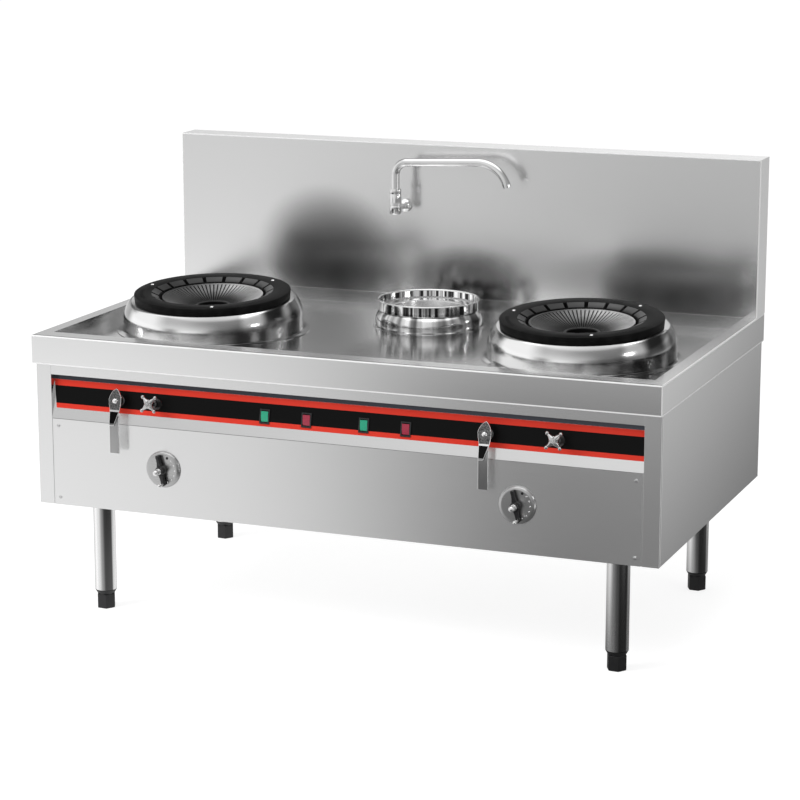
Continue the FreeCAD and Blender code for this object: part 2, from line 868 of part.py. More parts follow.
def burner_collar(name, side):
    """The spun collar round a furnace, with a flat flange on the tray."""
    owner = body()
    wall = s.spun_thickness
    top = throat_under
    bend = top - s.collar_shoulder
    foot_level = top - s.ring_rise - s.tray_depth - 20
    lip, mouth, outer = s.collar_lip_radius, s.drum_radius + 2, s.collar_radius
    turned(owner, [(mouth, top - wall), (lip - wall, top - wall, wall - s.collar_bow), (outer - wall, bend),
                   (outer - wall, foot_level), (outer, foot_level), (outer, bend, s.collar_bow), (lip, top),
                   (mouth, top)])
    on_burner(owner, side)
    below = block((side * s.burner_x - 400, side * s.burner_x + 400), (s.burner_y - 400, s.burner_y + 400),
                  (tray_floor - 200, tray_floor))
    flange = body()
    inner, rim, thick = s.collar_radius - wall / 2, s.collar_flange_radius, s.sheet_thickness
    turned(flange, [(inner, 0), (rim, 0), (rim, thick), (inner, thick)])
    place(flange, side * s.burner_x, burner_tray_y, tray_floor)
    node(joined(cut(owner, below), flange), "burner_collar_" + name)


def wok_ring(name, side):
    """The cast ring: flat top, coned seat with radial slots, and three low bosses."""
    owner = body()
    turned(owner, [(s.throat_radius, throat_under), (s.ring_radius - s.ring_draft, throat_under),
                   (s.ring_radius, -3), (s.ring_radius - 2, 0), (s.seat_radius, 0),
                   (s.throat_radius, -s.seat_depth)])
    slot = sketch_on(owner, "XY_Plane")
    half = s.slot_width / 2
    outline(slot, oblong(s.throat_radius - 10, s.seat_radius + 2, -half, half))
    first = pocket(owner, slot, s.slot_depth)
    repeated(owner, first, s.slot_count)
    boss = sketch_on(owner, "XY_Plane", -1)
    ring_line(boss, s.boss_radius, s.boss_circle * cosine(55), s.boss_circle * sine(55))
    lug = pad(owner, boss, s.boss_height + 1)
    repeated(owner, lug, 3)
    node(on_burner(owner, side), "wok_ring_" + name)


def finned_cone(name, side):
    """The dished flame grate: a rim and a hub joined by radial fins with open gaps."""
    rim = s.throat_radius - s.cone_gap
    rim_top = -s.seat_depth + 2
    hub_top = rim_top - s.cone_drop
    under = s.lining_ledge * -1
    shell = body()
    hub_low = hub_top - s.fin_height * 2
    inner, outer, throat = s.cone_hub_radius, rim - s.cone_rim, s.cone_throat_radius
    turned(shell, [(throat, hub_low), (inner, hub_low), (outer, under), (rim, under), (rim, rim_top),
                   (outer, rim_top), (inner, hub_top), (throat, hub_top)])
    gaps = body()
    sketch = sketch_on(gaps, "XY_Plane", hub_top - s.fin_height * 4)
    half = Size(360) / s.fin_count / 4
    outline(sketch, [(inner * cosine(half), -inner * sine(half)), (outer * cosine(half), -outer * sine(half)),
                     (outer * cosine(half), outer * sine(half)), (inner * cosine(half), inner * sine(half))])
    wedge = pad(gaps, sketch, s.fin_height * 4 + s.cone_drop * 2)
    repeated(gaps, wedge, s.fin_count)
    on_burner(shell, side)
    on_burner(gaps, side)
    node(cut(shell, gaps), "finned_cone_" + name)


def furnace_drum(name, side):
    """The lined furnace: a steel drum with refractory, hung from the tray by a flange."""
    owner = body()
    top = throat_under
    bottom = -s.drum_depth
    floor = bottom + s.chamber_floor
    mouth = s.throat_radius + s.running_gap
    port = s.head_spigot_radius + s.running_gap
    turned(owner, [(port, bottom), (s.drum_radius, bottom), (s.drum_radius, top), (mouth, top),
                   (mouth, -s.lining_ledge), (s.lining_radius, -s.lining_ledge),
                   (s.lining_radius - 10, floor), (port, floor)])
    on_burner(owner, side)
    flange = body()
    turned(flange, [(s.drum_radius - s.drum_wall, 0), (s.drum_flange_radius, 0),
                    (s.drum_flange_radius, s.drum_wall), (s.drum_radius - s.drum_wall, s.drum_wall)])
    place(flange, side * s.burner_x, burner_tray_y, tray_under - s.drum_wall)
    node(joined(owner, flange), "furnace_drum_" + name)


def burner_head(name, side):
    """The blown burner head on the furnace floor, with its spigot through the hole."""
    owner = body()
    floor = s.chamber_floor - s.drum_depth
    crown = floor + s.head_height
    low = -s.drum_depth - s.head_spigot_length
    spigot, dome = s.head_spigot_radius, s.head_radius
    flange, step = dome + s.head_flange, floor + 8
    turned(owner, [(spigot - 6, low), (spigot, low), (spigot, floor), (flange, floor), (flange, step),
                   (dome, step), (dome, crown - 14), (dome - 16, crown), (0, crown), (0, crown - 6),
                   (spigot - 6, crown - 6)])
    port = sketch_on(owner, "XZ_Plane")
    ring_line(port, s.port_radius, 0, floor + 20)
    bore = pocket(owner, port, dome + 10, reverse=True)
    repeated(owner, bore, s.port_count)
    node(on_burner(owner, side), "burner_head_" + name)


def wok_burners():
    for name, side in SIDES:
        burner_collar(name, side)
        wok_ring(name, side)
        finned_cone(name, side)
        furnace_drum(name, side)
        burner_head(name, side)


# ---------------------------------------------------------------- pot well

def pot_ring():
    """The spun shoulder and thin upright band round the pot opening."""
    owner = body()
    wall = s.spun_thickness
    top = s.pot_rise + s.tray_depth
    neck = top - s.pot_band_height
    band = s.pot_band_radius
    base, thick, lip = s.pot_base_radius, s.sheet_thickness, band + s.pot_flare
    turned(owner, [(base - wall, 0), (s.pot_base_flange, 0), (s.pot_base_flange, thick),
                   (base, thick, s.pot_bow), (band, neck), (band, top - 5), (lip, top), (lip - wall, top),
                   (band - wall, top - 5), (band - wall, neck - wall / 2, -s.pot_bow), (base - wall, thick)])
    node(place(owner, s.pot_x, s.pot_y, tray_floor), "pot_ring")


def pot_well():
    """The pan under the pot: a ledge inside the band and a deep closed cylinder."""
    owner = body()
    wall = s.spun_thickness
    ledge = s.pot_rise + s.tray_depth - s.pot_ledge_drop
    bottom = ledge - s.pot_well_depth
    edge = s.pot_band_radius - wall - s.running_gap
    turned(owner, [(0, bottom), (s.pot_hole_radius + wall, bottom), (s.pot_hole_radius + wall, ledge - wall),
                   (edge, ledge - wall), (edge, ledge + 5), (edge - wall, ledge + 5), (edge - wall, ledge),
                   (s.pot_hole_radius, ledge), (s.pot_hole_radius, bottom + wall), (0, bottom + wall)])
    node(place(owner, s.pot_x, s.pot_y, tray_floor), "pot_well")


# ---------------------------------------------------------------- faucet and drain

def faucet_body():
    """The inlet pipe through the splashback, its wall rose and the upright body."""
    pipe_start = faucet_y + s.faucet_body_radius / 2
    pipe = rod(s.faucet_inlet_radius, rear_end - pipe_start, s.faucet_x, pipe_start, inlet_z, *ALONG_Y)
    end_y = rear_end - s.water_end_length
    nipple = rod(s.water_end_radius, s.water_end_length, s.faucet_x, end_y, inlet_z, *ALONG_Y)
    rose = doc.addObject("Part::Cone", "rose")
    bind(rose, "Radius1", s.faucet_flange_radius)
    bind(rose, "Radius2", s.faucet_flange_radius - 5)
    bind(rose, "Height", s.faucet_flange_width)
    place(rose, s.faucet_x, splash_face, inlet_z, *ALONG_FRONT)
    column = body()
    socket = s.spout_radius + s.running_gap
    high = s.faucet_body_height
    turned(column, [(0, 0), (s.faucet_body_radius - 2, 0), (s.faucet_body_radius, 2),
                    (s.faucet_body_radius, high - 2), (s.faucet_body_radius - 2, high), (socket, high),
                    (socket, high - 20), (0, high - 20)])
    place(column, s.faucet_x, faucet_y, faucet_z)
    node(joined(pipe, nipple, rose, column), "faucet_body")


def faucet_spout():
    """The swing spout: a riser, a gently rising run and a drooping end, in one bent tube."""
    owner = body()
    path = sketch_on(owner, "XZ_Plane")
    rise, droop = s.spout_rise_angle, s.spout_last_angle
    first, last = s.spout_first_bend, s.spout_last_bend
    start = (Size(0), s.faucet_body_height - 19.7)
    bend = (Size(0), start[1] + s.spout_riser)
    centre = (first, bend[1])
    run = (centre[0] - first * sine(rise), centre[1] + first * cosine(rise))
    turn = (run[0] + s.spout_run * cosine(rise), run[1] + s.spout_run * sine(rise))
    pivot = (turn[0] + last * sine(rise), turn[1] - last * cosine(rise))
    tip = (pivot[0] + last * sine(droop), pivot[1] + last * cosine(droop))
    outline(path, [start, bend + (-first,), run, turn + (-last,), tip], closed=False)
    section = sketch_on(owner, "XY_Plane", start[1])
    ring_line(section, s.spout_radius)
    ring_line(section, s.spout_radius - s.spout_wall)
    pipe = owner.newObject("PartDesign::AdditivePipe", "pipe")
    pipe.Profile = section
    pipe.Spine = (path, ["Edge%d" % index for index in range(1, 5)])
    node(place(owner, s.faucet_x, faucet_y, faucet_z), "faucet_spout")


def tray_drain():
    """The tray's outlet: a flange on the floor and a tail under it."""
    owner = body()
    inner = s.drain_radius - s.drain_wall
    thick = s.sheet_thickness
    turned(owner, [(inner, -s.drain_length), (s.drain_radius, -s.drain_length), (s.drain_radius, 0),
                   (s.drain_flange_radius, 0), (s.drain_flange_radius - 1, thick), (inner, thick)])
    node(place(owner, s.drain_x, s.drain_y, tray_floor), "tray_drain")


# ---------------------------------------------------------------- controls on the leaning panel

def lever_blade():
    """The flat blade: lapped behind the head, then bent to hang upright."""
    owner = body()
    side_view = sketch_on(owner, "YZ_Plane")
    near = -s.air_neck_length - s.running_gap - s.lever_standoff
    thick, top, bend, low = s.lever_thickness, -s.lever_lap, -s.lever_tongue, -s.lever_length
    lean = s.control_panel_lean
    foot = near + (s.lever_length - s.lever_tongue) * sine(lean) / cosine(lean)
    outline(side_view, [(near, top), (near, bend), (foot, low), (foot - thick, low), (near - thick, bend),
                        (near - thick, top)])
    pad(owner, side_view, s.lever_blade_width, middle=True)
    return owner


def lever_head():
    """The leaf-shaped head, which narrows to a tongue over the blade."""
    owner = body()
    near = s.air_neck_length + s.running_gap + s.lever_standoff
    front_view = sketch_on(owner, "XZ_Plane", near + s.lever_thickness)
    head, left, bow = s.lever_head_width / 2, -s.lever_blade_width / 2, s.lever_bow
    outline(front_view, [(3, s.lever_tip, bow), (-head, 4, bow * 1.5), (left, -s.lever_waist),
                         (left + 1, -s.lever_tongue), (2, -s.lever_tongue),
                         (head - 3, -s.lever_waist, bow * 1.5), (head, 4, bow)])
    pad(owner, front_view, s.lever_thickness)
    return owner


def knee_lever(name, x):
    """A hanging lever on its spindle, held by a domed bolt."""
    near = s.air_neck_length + s.running_gap
    face = near + s.lever_standoff + s.lever_thickness * 2
    spindle = rod(s.stem_radius, near + 20, 0, 20, 0, *ALONG_FRONT)
    boss = rod(s.air_neck_radius + 1, face - near - 1, 0, -near, 0, *ALONG_FRONT)
    bolt = doc.addObject("Part::Cone", "bolt")
    bind(bolt, "Radius1", s.bolt_radius)
    bind(bolt, "Radius2", s.bolt_radius * 0.55)
    bind(bolt, "Height", s.bolt_height)
    place(bolt, 0, -face, 0, *ALONG_FRONT)
    lever = joined(lever_blade(), lever_head(), spindle, boss, bolt)
    node(on_panel(lever, x, s.lever_up), "knee_lever_" + name)


def air_valves():
    """The valves that the levers turn: a body behind the panel and a neck through it."""
    valves = []
    bore = s.stem_radius + s.running_gap
    back = -s.sheet_thickness - s.air_body_length
    for name, x in LEVERS:
        valve = body()
        turned(valve, [(0, back), (s.air_body_radius, back), (s.air_body_radius, -s.sheet_thickness),
                       (s.air_neck_radius, -s.sheet_thickness), (s.air_neck_radius, s.air_neck_length),
                       (bore, s.air_neck_length), (bore, -s.air_bore_depth), (0, -s.air_bore_depth)])
        valves.append(pivot_turn(valve, x, s.lever_up))
    node(joined(*valves), "air_valves")


def pivot_turn(item, x, up, out=0):
    """Lay a turned item's axis along the control panel's outward normal."""
    on_panel(item, x, up, out)
    turn = 90 - s.control_panel_lean
    item.Placement.Rotation = FreeCAD.Rotation(Vector(1, 0, 0), turn.number)
    bind(item, "Placement.Rotation.Angle", turn)
    return item


def cross_handle(name, x):
    """A four-armed handle with ball ends on its spindle."""
    arms = []
    middle = s.pilot_neck_length + s.running_gap + s.cross_hub_length / 2
    for turn in (45, 135, 225, 315):
        reach_x, reach_z = s.cross_reach * cosine(turn), s.cross_reach * sine(turn)
        arms.append(rod(s.cross_arm_radius, s.cross_reach, 0, -middle, 0, Vector(0, 1, 0), turn))
        ball = doc.addObject("Part::Sphere", "ball")
        bind(ball, "Radius", s.cross_ball_radius)
        arms.append(place(ball, reach_x, -middle, reach_z))
    hub = body()
    near = s.pilot_neck_length + s.running_gap
    far = near + s.cross_hub_length
    radius = s.cross_hub_radius
    stem, web, nub = s.pilot_stem_radius, s.cross_web_radius, far + s.cross_nub
    turned(hub, [(0, -14), (stem, -14), (stem, near), (radius, near), (radius, near + 4), (web, near + 5),
                 (web, far - 5), (radius, far - 4), (radius - 3, far), (4, far), (4, nub), (0, nub)])
    place(hub, 0, 0, 0, *ALONG_FRONT)
    node(on_panel(joined(hub, *arms), x, s.cross_up), "cross_handle_" + name)


def pilot_valves():
    """The pilot gas valves: rose and neck in front, body and drop tube behind."""
    valves = []
    bore = s.pilot_stem_radius + s.running_gap
    back = -s.sheet_thickness - s.pilot_body_length
    face = s.label_thickness
    thin, thick = s.pilot_neck_radius - 1, s.pilot_neck_radius + 3
    step = s.pilot_neck_length * 0.55
    top = panel_foot + s.cross_up * cosine(s.control_panel_lean) - s.pilot_body_radius
    low = s.manifold_z + s.manifold_radius + s.running_gap
    for name, x in CROSSES:
        valve = body()
        turned(valve, [(0, back), (s.pilot_body_radius, back), (s.pilot_body_radius, -s.sheet_thickness),
                       (s.pilot_neck_radius, -s.sheet_thickness), (s.pilot_neck_radius, face),
                       (s.pilot_rose_radius, face), (s.pilot_rose_radius - 2, face + s.pilot_rose_thickness),
                       (thick, face + s.pilot_rose_thickness), (thick, step), (thin, step + 2),
                       (thin, s.pilot_neck_length), (bore, s.pilot_neck_length), (bore, -16), (0, -16)])
        valves.append(pivot_turn(valve, x, s.cross_up))
        valves.append(rod(s.pilot_stem_radius, top - low, x, s.manifold_y, low))
    node(joined(*valves), "pilot_valves")


def switch_housings():
    """Four snap-in switch bodies, each with a thin bezel on the label."""
    pieces = []
    for name, x in SWITCHES:
        wide, tall = s.bezel_width / 2, s.bezel_height / 2
        rim, face = s.bezel_rim, -s.label_thickness
        bezel = block((-wide, wide), (face - s.bezel_rise, face), (-tall, tall))
        case = block((rim - wide, wide - rim), (face, s.switch_body_depth), (rim - tall, tall - rim))
        mouth_x, mouth_z = wide - rim * 1.6, tall - rim * 1.6
        well = block((-mouth_x, mouth_x), (face - s.bezel_rise, s.switch_body_depth / 2), (-mouth_z, mouth_z))
        pieces.append(on_panel(cut(joined(bezel, case), well), x, s.switch_up))
    node(joined(*pieces), "switch_housings")


def rocker(name, x):
    """A rocker with two flat halves that meet at a blunt angle over its pivot barrel."""
    owner = body()
    profile = sketch_on(owner, "YZ_Plane")
    tall = s.bezel_height / 2 - s.bezel_rim * 1.6 - s.rocker_play
    face = -s.label_thickness - s.bezel_rise
    lift = tall * sine(s.rocker_tilt)
    outline(profile, [(face + 1 - lift, tall), (face - 0.5, 0), (face + 1 + lift * 0.5, -tall),
                      (face + 5 + lift * 0.5, -tall * 0.86, -60), (face + 5 - lift * 0.3, tall * 0.9)])
    width = s.bezel_width - s.bezel_rim * 3.2 - s.running_gap * 2
    pad(owner, profile, width, middle=True)
    barrel = rod(s.rocker_barrel_radius, width, -width / 2, s.rocker_pivot_depth, 0, *ALONG_X)
    node(on_panel(joined(owner, barrel), x, s.switch_up), "rocker_" + name)


def panel_controls():
    for name, x in LEVERS:
        knee_lever(name, x)
    air_valves()
    for name, x in CROSSES:
        cross_handle(name, x)
    pilot_valves()
    switch_housings()
    for name, x in SWITCHES:
        rocker(name, x)


# ---------------------------------------------------------------- dials and their gas valves

def dial_plate(name, x):
    """A round index plate with a domed shoulder and a row of dots down one side."""
    owner = body()
    bore = s.stem_radius + 2
    thick, shoulder = s.dial_thickness, s.dial_shoulder
    turned(owner, [(bore, 0), (s.dial_radius, 0), (s.dial_radius, s.dial_edge, shoulder),
                   (s.dial_radius - shoulder + 1, thick), (bore, thick)])
    dots = sketch_on(owner, "XY_Plane", thick)
    for step in range(-3, 4):
        turn = step * s.dot_step
        radius = s.dot_radius * (1.6 if step == 3 else 1)
        ring_line(dots, radius, s.dot_circle * cosine(turn), s.dot_circle * sine(turn))
    pocket(owner, dots, s.dot_depth)
    node(place(owner, x, front_face, s.dial_height, *ALONG_FRONT), "dial_plate_" + name)


def dial_handle(name, x):
    """The moulded handle: a round hub in the middle of a curved cross bar."""
    hub = body()
    start = s.dial_thickness + s.running_gap
    top = start + s.handle_hub_length
    bore = s.handle_spindle_radius + s.fit_gap
    turned(hub, [(bore, start), (s.handle_hub_radius - 2, start), (s.handle_hub_radius, start + 2),
                 (s.handle_hub_radius, top - 4), (s.handle_hub_radius - 4, top), (bore, top)])
    place(hub, 0, 0, 0, *ALONG_FRONT)
    bar = body()
    front_view = sketch_on(bar, "XZ_Plane", start + s.handle_bar_rise)
    half, wide, lean = s.handle_bar_length / 2, s.handle_bar_width / 2, s.handle_bar_lean
    bow = s.handle_bar_length * 0.9
    outline(front_view, [(-lean - wide, half, -bow), (-wide - 2, 0, bow), (lean - wide, -half),
                         (lean + wide, -half, -bow), (wide + 2, 0, bow), (wide - lean, half)])
    ring_line(front_view, bore)
    pad(bar, front_view, s.handle_bar_depth)
    node(place(joined(hub, bar), x, front_face, s.dial_height), "dial_handle_" + name)


def dial_spindle(name, x):
    """The bright spindle through the handle, with its ball end, and the pin in the bar's lower end."""
    start = s.dial_thickness + s.running_gap
    top = start + s.handle_hub_length + s.spindle_reach
    spindle = rod(s.stem_radius, 30 + start, 0, 30, 0, *ALONG_FRONT)
    shank = rod(s.handle_spindle_radius, top - start, 0, -start, 0, *ALONG_FRONT)
    pieces = [spindle, shank]
    pin_x, pin_z = s.handle_bar_lean - 1, s.handle_tail_inset - s.handle_bar_length / 2
    pin_start = start + s.handle_bar_rise + s.handle_bar_depth
    pieces.append(rod(s.handle_tail_radius, s.handle_tail_length, pin_x, -pin_start, pin_z, *ALONG_FRONT))
    balls = [(s.spindle_ball_radius, 0, top, 0),
             (s.handle_tail_radius + 1.5, pin_x, pin_start + s.handle_tail_length, pin_z)]
    for radius, at_x, reach, at_z in balls:
        ball = doc.addObject("Part::Sphere", "ball")
        bind(ball, "Radius", radius)
        pieces.append(place(ball, at_x, -reach, at_z))
    node(place(joined(*pieces), x, front_face, s.dial_height), "dial_spindle_" + name)


def gas_valves():
    """Two cocks behind the lower panel, each with its feed pipe to the riser and its inlet above."""
    pieces = []
    for (name, x), (other, side) in zip(DIALS, SIDES):
        cock = body()
        bore = s.stem_radius + s.running_gap
        turned(cock, [(0, 0), (s.gas_body_radius, 0), (s.gas_body_radius, s.gas_body_length),
                      (bore, s.gas_body_length), (bore, 16), (0, 16)])
        place(cock, x, front_inner + s.gas_body_length, s.dial_height, *ALONG_FRONT)
        feed_start = front_inner + s.gas_body_length - 1
        feed_end = riser_y - s.riser_depth / 2
        feed = rod(s.feed_radius, feed_end - feed_start, x, feed_start, s.dial_height, *ALONG_Y)
        rise_end = s.manifold_z - s.manifold_radius - s.running_gap
        rise = rod(s.feed_radius, rise_end - s.dial_height, x, s.manifold_y, s.dial_height)
        pieces += [cock, feed, rise]
    node(joined(*pieces), "gas_valves")


def gas_manifold():
    """The gas pipe: along the front, round a bend and out through the rear panel."""
    owner = body()
    path = sketch_on(owner, "XY_Plane")
    start = s.dial_left_x - 40
    bend = s.manifold_rear_x - s.manifold_bend
    rear_x, front_y = s.manifold_rear_x, s.manifold_y
    outline(path, [(start, front_y), (bend, front_y, s.manifold_bend), (rear_x, front_y + s.manifold_bend),
                   (rear_x, rear_end)], closed=False)
    section = sketch_on(owner, "YZ_Plane", start)
    ring_line(section, s.manifold_radius, s.manifold_y, 0)
    pipe = owner.newObject("PartDesign::AdditivePipe", "pipe")
    pipe.Profile = section
    pipe.Spine = (path, ["Edge1", "Edge2", "Edge3"])
    place(owner, z=s.manifold_z)
    end_y = rear_end - s.gas_end_length
    nipple = rod(s.gas_end_radius, s.gas_end_length, s.manifold_rear_x, end_y, s.manifold_z, *ALONG_Y)
    node(joined(owner, nipple), "gas_manifold")


def dials():
    for name, x in DIALS:
        dial_plate(name, x)
        dial_handle(name, x)
        dial_spindle(name, x)
    gas_valves()
    gas_manifold()


# ---------------------------------------------------------------- blowers

def shell_box(x, y, z, wall):
    """A box and its inside, for a duct."""
    outer = block(x, y, z)
    inner = block((x[0] + wall, x[1] - wall), (y[0] + wall, y[1] - wall), (z[0] + wall, z[1] - wall))
    return outer, inner


def blower(name, side):
    """A scroll housing with its motor, outlet duct and the riser under the furnace."""
    wall = s.blower_wall
    x, y, z = side * s.burner_x, s.blower_y, s.blower_z
    half = s.scroll_width / 2
    low = z - s.scroll_radius
    scroll = rod(s.scroll_radius, s.scroll_width, x - half, y, z, *ALONG_X)
    inside = rod(s.scroll_radius - wall, s.scroll_width - wall * 2, x - half + wall, y, z, *ALONG_X)
    riser_depth = (riser_y - s.riser_depth / 2, riser_y + s.riser_depth / 2)
    riser_width = (x - s.riser_width / 2, x + s.riser_width / 2)
    riser, riser_inside = shell_box(riser_width, riser_depth, (low, s.riser_top), wall)
    duct_width = (x - s.duct_width / 2, x + s.duct_width / 2)
    duct_run = (riser_depth[1] - wall * 2, y)
    duct, duct_inside = shell_box(duct_width, duct_run, (low, low + s.duct_height), wall)
    mouth = rod(s.head_spigot_radius + s.mouth_gap, wall * 2, x, riser_y, s.riser_top - wall * 1.5)
    inlet = rod(s.blower_inlet_radius, wall * 2, x + side * (half - wall * 0.5) - wall, y, z, *ALONG_X)
    stand_y = (y - s.scroll_radius / 2, y + s.scroll_radius / 2)
    stand = block((x - half, x + half), stand_y, (cabinet_floor, low + 14))
    riser_foot = (x - s.duct_width / 4, x + s.duct_width / 4)
    riser_stand = block(riser_foot, riser_depth, (cabinet_floor, low + wall))
    motor_x = x - side * half - (s.motor_length if side > 0 else 0)
    motor = rod(s.motor_radius, s.motor_length, motor_x, y, z, *ALONG_X)
    shaft_x = x - side * half - s.impeller_shaft_length
    shaft_hole = rod(s.shaft_radius + s.running_gap, s.impeller_shaft_length * 2, shaft_x, y, z, *ALONG_X)
    solid = joined(scroll, duct, riser, motor, stand, riser_stand)
    node(cut(solid, inside, duct_inside, riser_inside, mouth, inlet, shaft_hole), "blower_" + name)


def impeller(name, side):
    """A drum of blades on a back plate, with its hub and shaft."""
    owner = body()
    radius, wide = s.impeller_radius, s.impeller_width
    hub, tail = s.impeller_hub_radius, -s.impeller_shaft_length
    turned(owner, [(0, tail), (s.shaft_radius, tail), (s.shaft_radius, 0), (radius, 0),
                   (radius, s.blade_thickness), (hub, s.blade_thickness), (hub - 4, 22), (0, 22)])
    blade = sketch_on(owner, "XY_Plane", s.blade_thickness / 2)
    inner = radius - s.blade_depth
    thick = s.blade_thickness
    outline(blade, [(inner, 0), (radius - 1, 8), (radius - 1 - thick, 8 + thick), (inner - thick, thick)])
    first = pad(owner, blade, wide)
    repeated(owner, first, s.blade_count)
    start = s.scroll_width / 2 - s.blower_wall - 6
    place(owner, side * (s.burner_x - start), s.blower_y, s.blower_z, Vector(0, 1, 0), 90 * side)
    node(owner, "impeller_" + name)


def blowers():
    for name, side in SIDES:
        blower(name, side)
        impeller(name, side)


# ---------------------------------------------------------------- build, test and write

def build():
    worktop_tray()
    splashback()
    splash_rear_cover()
    side_panels()
    back_panel()
    bottom_panel()
    front_posts()
    top_rail()
    control_panel()
    control_label()
    lower_panel()
    panel_screws()
    subframe()
    legs_and_feet()
    wok_burners()
    pot_ring()
    pot_well()
    faucet_body()
    faucet_spout()
    tray_drain()
    panel_controls()
    dials()
    blowers()


def check():
    """Stop if any feature failed or any piece is empty or broken."""
    failed = [item.Label for item in doc.Objects if "Invalid" in item.State or "Error" in item.State]
    shapes = [(item.Label, item.Shape) for item in nodes]
    bad = [label for label, shape in shapes if shape.isNull() or not shape.isValid() or not shape.Solids]
    if failed or bad:
        raise RuntimeError("failed: %s; bad shapes: %s" % (failed, bad))


def write():
    for item in nodes:
        item.Shape.exportStep("parts/%s.step" % item.Label)


build()
doc.recompute()
check()
write()
print(len(nodes), "pieces")
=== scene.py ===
import math
import bpy
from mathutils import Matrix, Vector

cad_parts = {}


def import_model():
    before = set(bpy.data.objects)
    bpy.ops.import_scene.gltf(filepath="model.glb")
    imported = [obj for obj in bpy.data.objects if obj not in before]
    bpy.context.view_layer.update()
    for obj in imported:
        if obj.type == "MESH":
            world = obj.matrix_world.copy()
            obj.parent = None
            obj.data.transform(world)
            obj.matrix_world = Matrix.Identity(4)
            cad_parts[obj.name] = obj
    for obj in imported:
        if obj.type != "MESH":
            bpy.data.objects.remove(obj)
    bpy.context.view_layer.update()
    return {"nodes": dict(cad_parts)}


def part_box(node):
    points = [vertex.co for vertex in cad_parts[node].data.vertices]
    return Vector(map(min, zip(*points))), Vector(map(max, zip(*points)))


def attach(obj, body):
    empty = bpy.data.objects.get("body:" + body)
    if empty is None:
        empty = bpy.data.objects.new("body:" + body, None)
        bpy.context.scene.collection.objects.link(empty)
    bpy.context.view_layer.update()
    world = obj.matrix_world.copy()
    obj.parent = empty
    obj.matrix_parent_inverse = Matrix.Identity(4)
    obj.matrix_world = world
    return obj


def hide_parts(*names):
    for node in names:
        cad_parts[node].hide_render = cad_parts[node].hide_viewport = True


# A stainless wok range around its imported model: studio, finishes, then one section per group of pieces.

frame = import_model()

MM = 0.001
ROUND_STEPS = 128
SMALL_STEPS = 40

# ------------------------------------------------------------------ places read from the frame

tray_low, tray_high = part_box("worktop_tray")
TOP = tray_high.z
FRONT = -507 * MM
PANEL_FOOT = 566 * MM
PANEL_LEAN = math.radians(11.4)
RING_TILT = math.radians(3.3)
RING_TOP = 875 * MM
BURNER_Y = -96 * MM
TRAY_FLOOR = 763 * MM
SKIRT_FOOT = tray_low.z
FLANGE_Y = BURNER_Y + (RING_TOP - TRAY_FLOOR) * math.sin(RING_TILT)
LEVER_UP = 64 * MM
CROSS_UP = 64 * MM
HEAD_OUT = 33.3 * MM
DIAL_Z = 451 * MM
POT = (0, 190 * MM, TRAY_FLOOR)
FAUCET = (-168 * MM, 353.5 * MM, 1055 * MM)


def middle_x(node):
    low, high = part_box(node)
    return (low.x + high.x) / 2


# ------------------------------------------------------------------ camera, lamps, floor and world

def camera():
    """A long lens from the right and above, with the photograph's own shift."""
    bpy.ops.object.camera_add(location=(2.6504, -6.7361, 2.2056))
    eye = bpy.context.object
    eye.rotation_euler = (math.radians(90 - 12.704), math.radians(0.174), math.radians(22.321))
    eye.data.lens = 118.17
    eye.data.sensor_width = 36
    eye.data.shift_x = 0.04355
    eye.data.shift_y = 0.0031
    bpy.context.scene.camera = eye


def lamp(place, aim, width, height, power, mirrored=False):
    """A soft rectangular lamp at a place, turned to its aim; only a mirrored one shows in the metal."""
    bpy.ops.object.light_add(type="AREA", location=place)
    light = bpy.context.object
    light.data.shape = "RECTANGLE"
    light.data.size = width
    light.data.size_y = height
    light.data.energy = power
    light.visible_glossy = mirrored
    away = [a - b for a, b in zip(place, aim)]
    flat = math.hypot(away[0], away[1])
    light.rotation_euler = (math.atan2(flat, away[2]), 0, math.atan2(away[1], away[0]) + math.pi / 2)


class Value:
    """A number on its way through a material's nodes; sums and products add Math nodes."""

    def __init__(self, finish, socket):
        self.finish = finish
        self.socket = socket

    def math(self, operation, *values):
        return self.finish.node("ShaderNodeMath", {"operation": operation}, dict(enumerate(values)))

    def __add__(self, other):
        return self.math("ADD", self, other)

    def __sub__(self, other):
        return self.math("SUBTRACT", self, other)

    def __rsub__(self, other):
        return self.math("SUBTRACT", other, self)

    def __mul__(self, other):
        return self.math("MULTIPLY", self, other)

    def __truediv__(self, other):
        return self.math("DIVIDE", self, other)

    __radd__ = __add__
    __rmul__ = __mul__

    def above(self, limit):
        return self.math("GREATER_THAN", self, limit)

    def below(self, limit):
        return self.math("LESS_THAN", self, limit)

    def power(self, exponent):
        return self.math("POWER", self, exponent)

    def ramp(self, low, high, start=0.0, end=1.0, kind="LINEAR"):
        """The value mapped from low..high to start..end and held there."""
        sockets = {"Value": self, "From Min": low, "From Max": high, "To Min": start, "To Max": end}
        return self.finish.node("ShaderNodeMapRange", {"clamp": True, "interpolation_type": kind}, sockets)

    def soft(self, low, high, start=0.0, end=1.0):
        """A ramp that starts and ends gently."""
        return self.ramp(low, high, start, end, "SMOOTHSTEP")

    def toward(self, other, factor):
        """The value moved towards another by a factor."""
        return self + (other - self) * factor


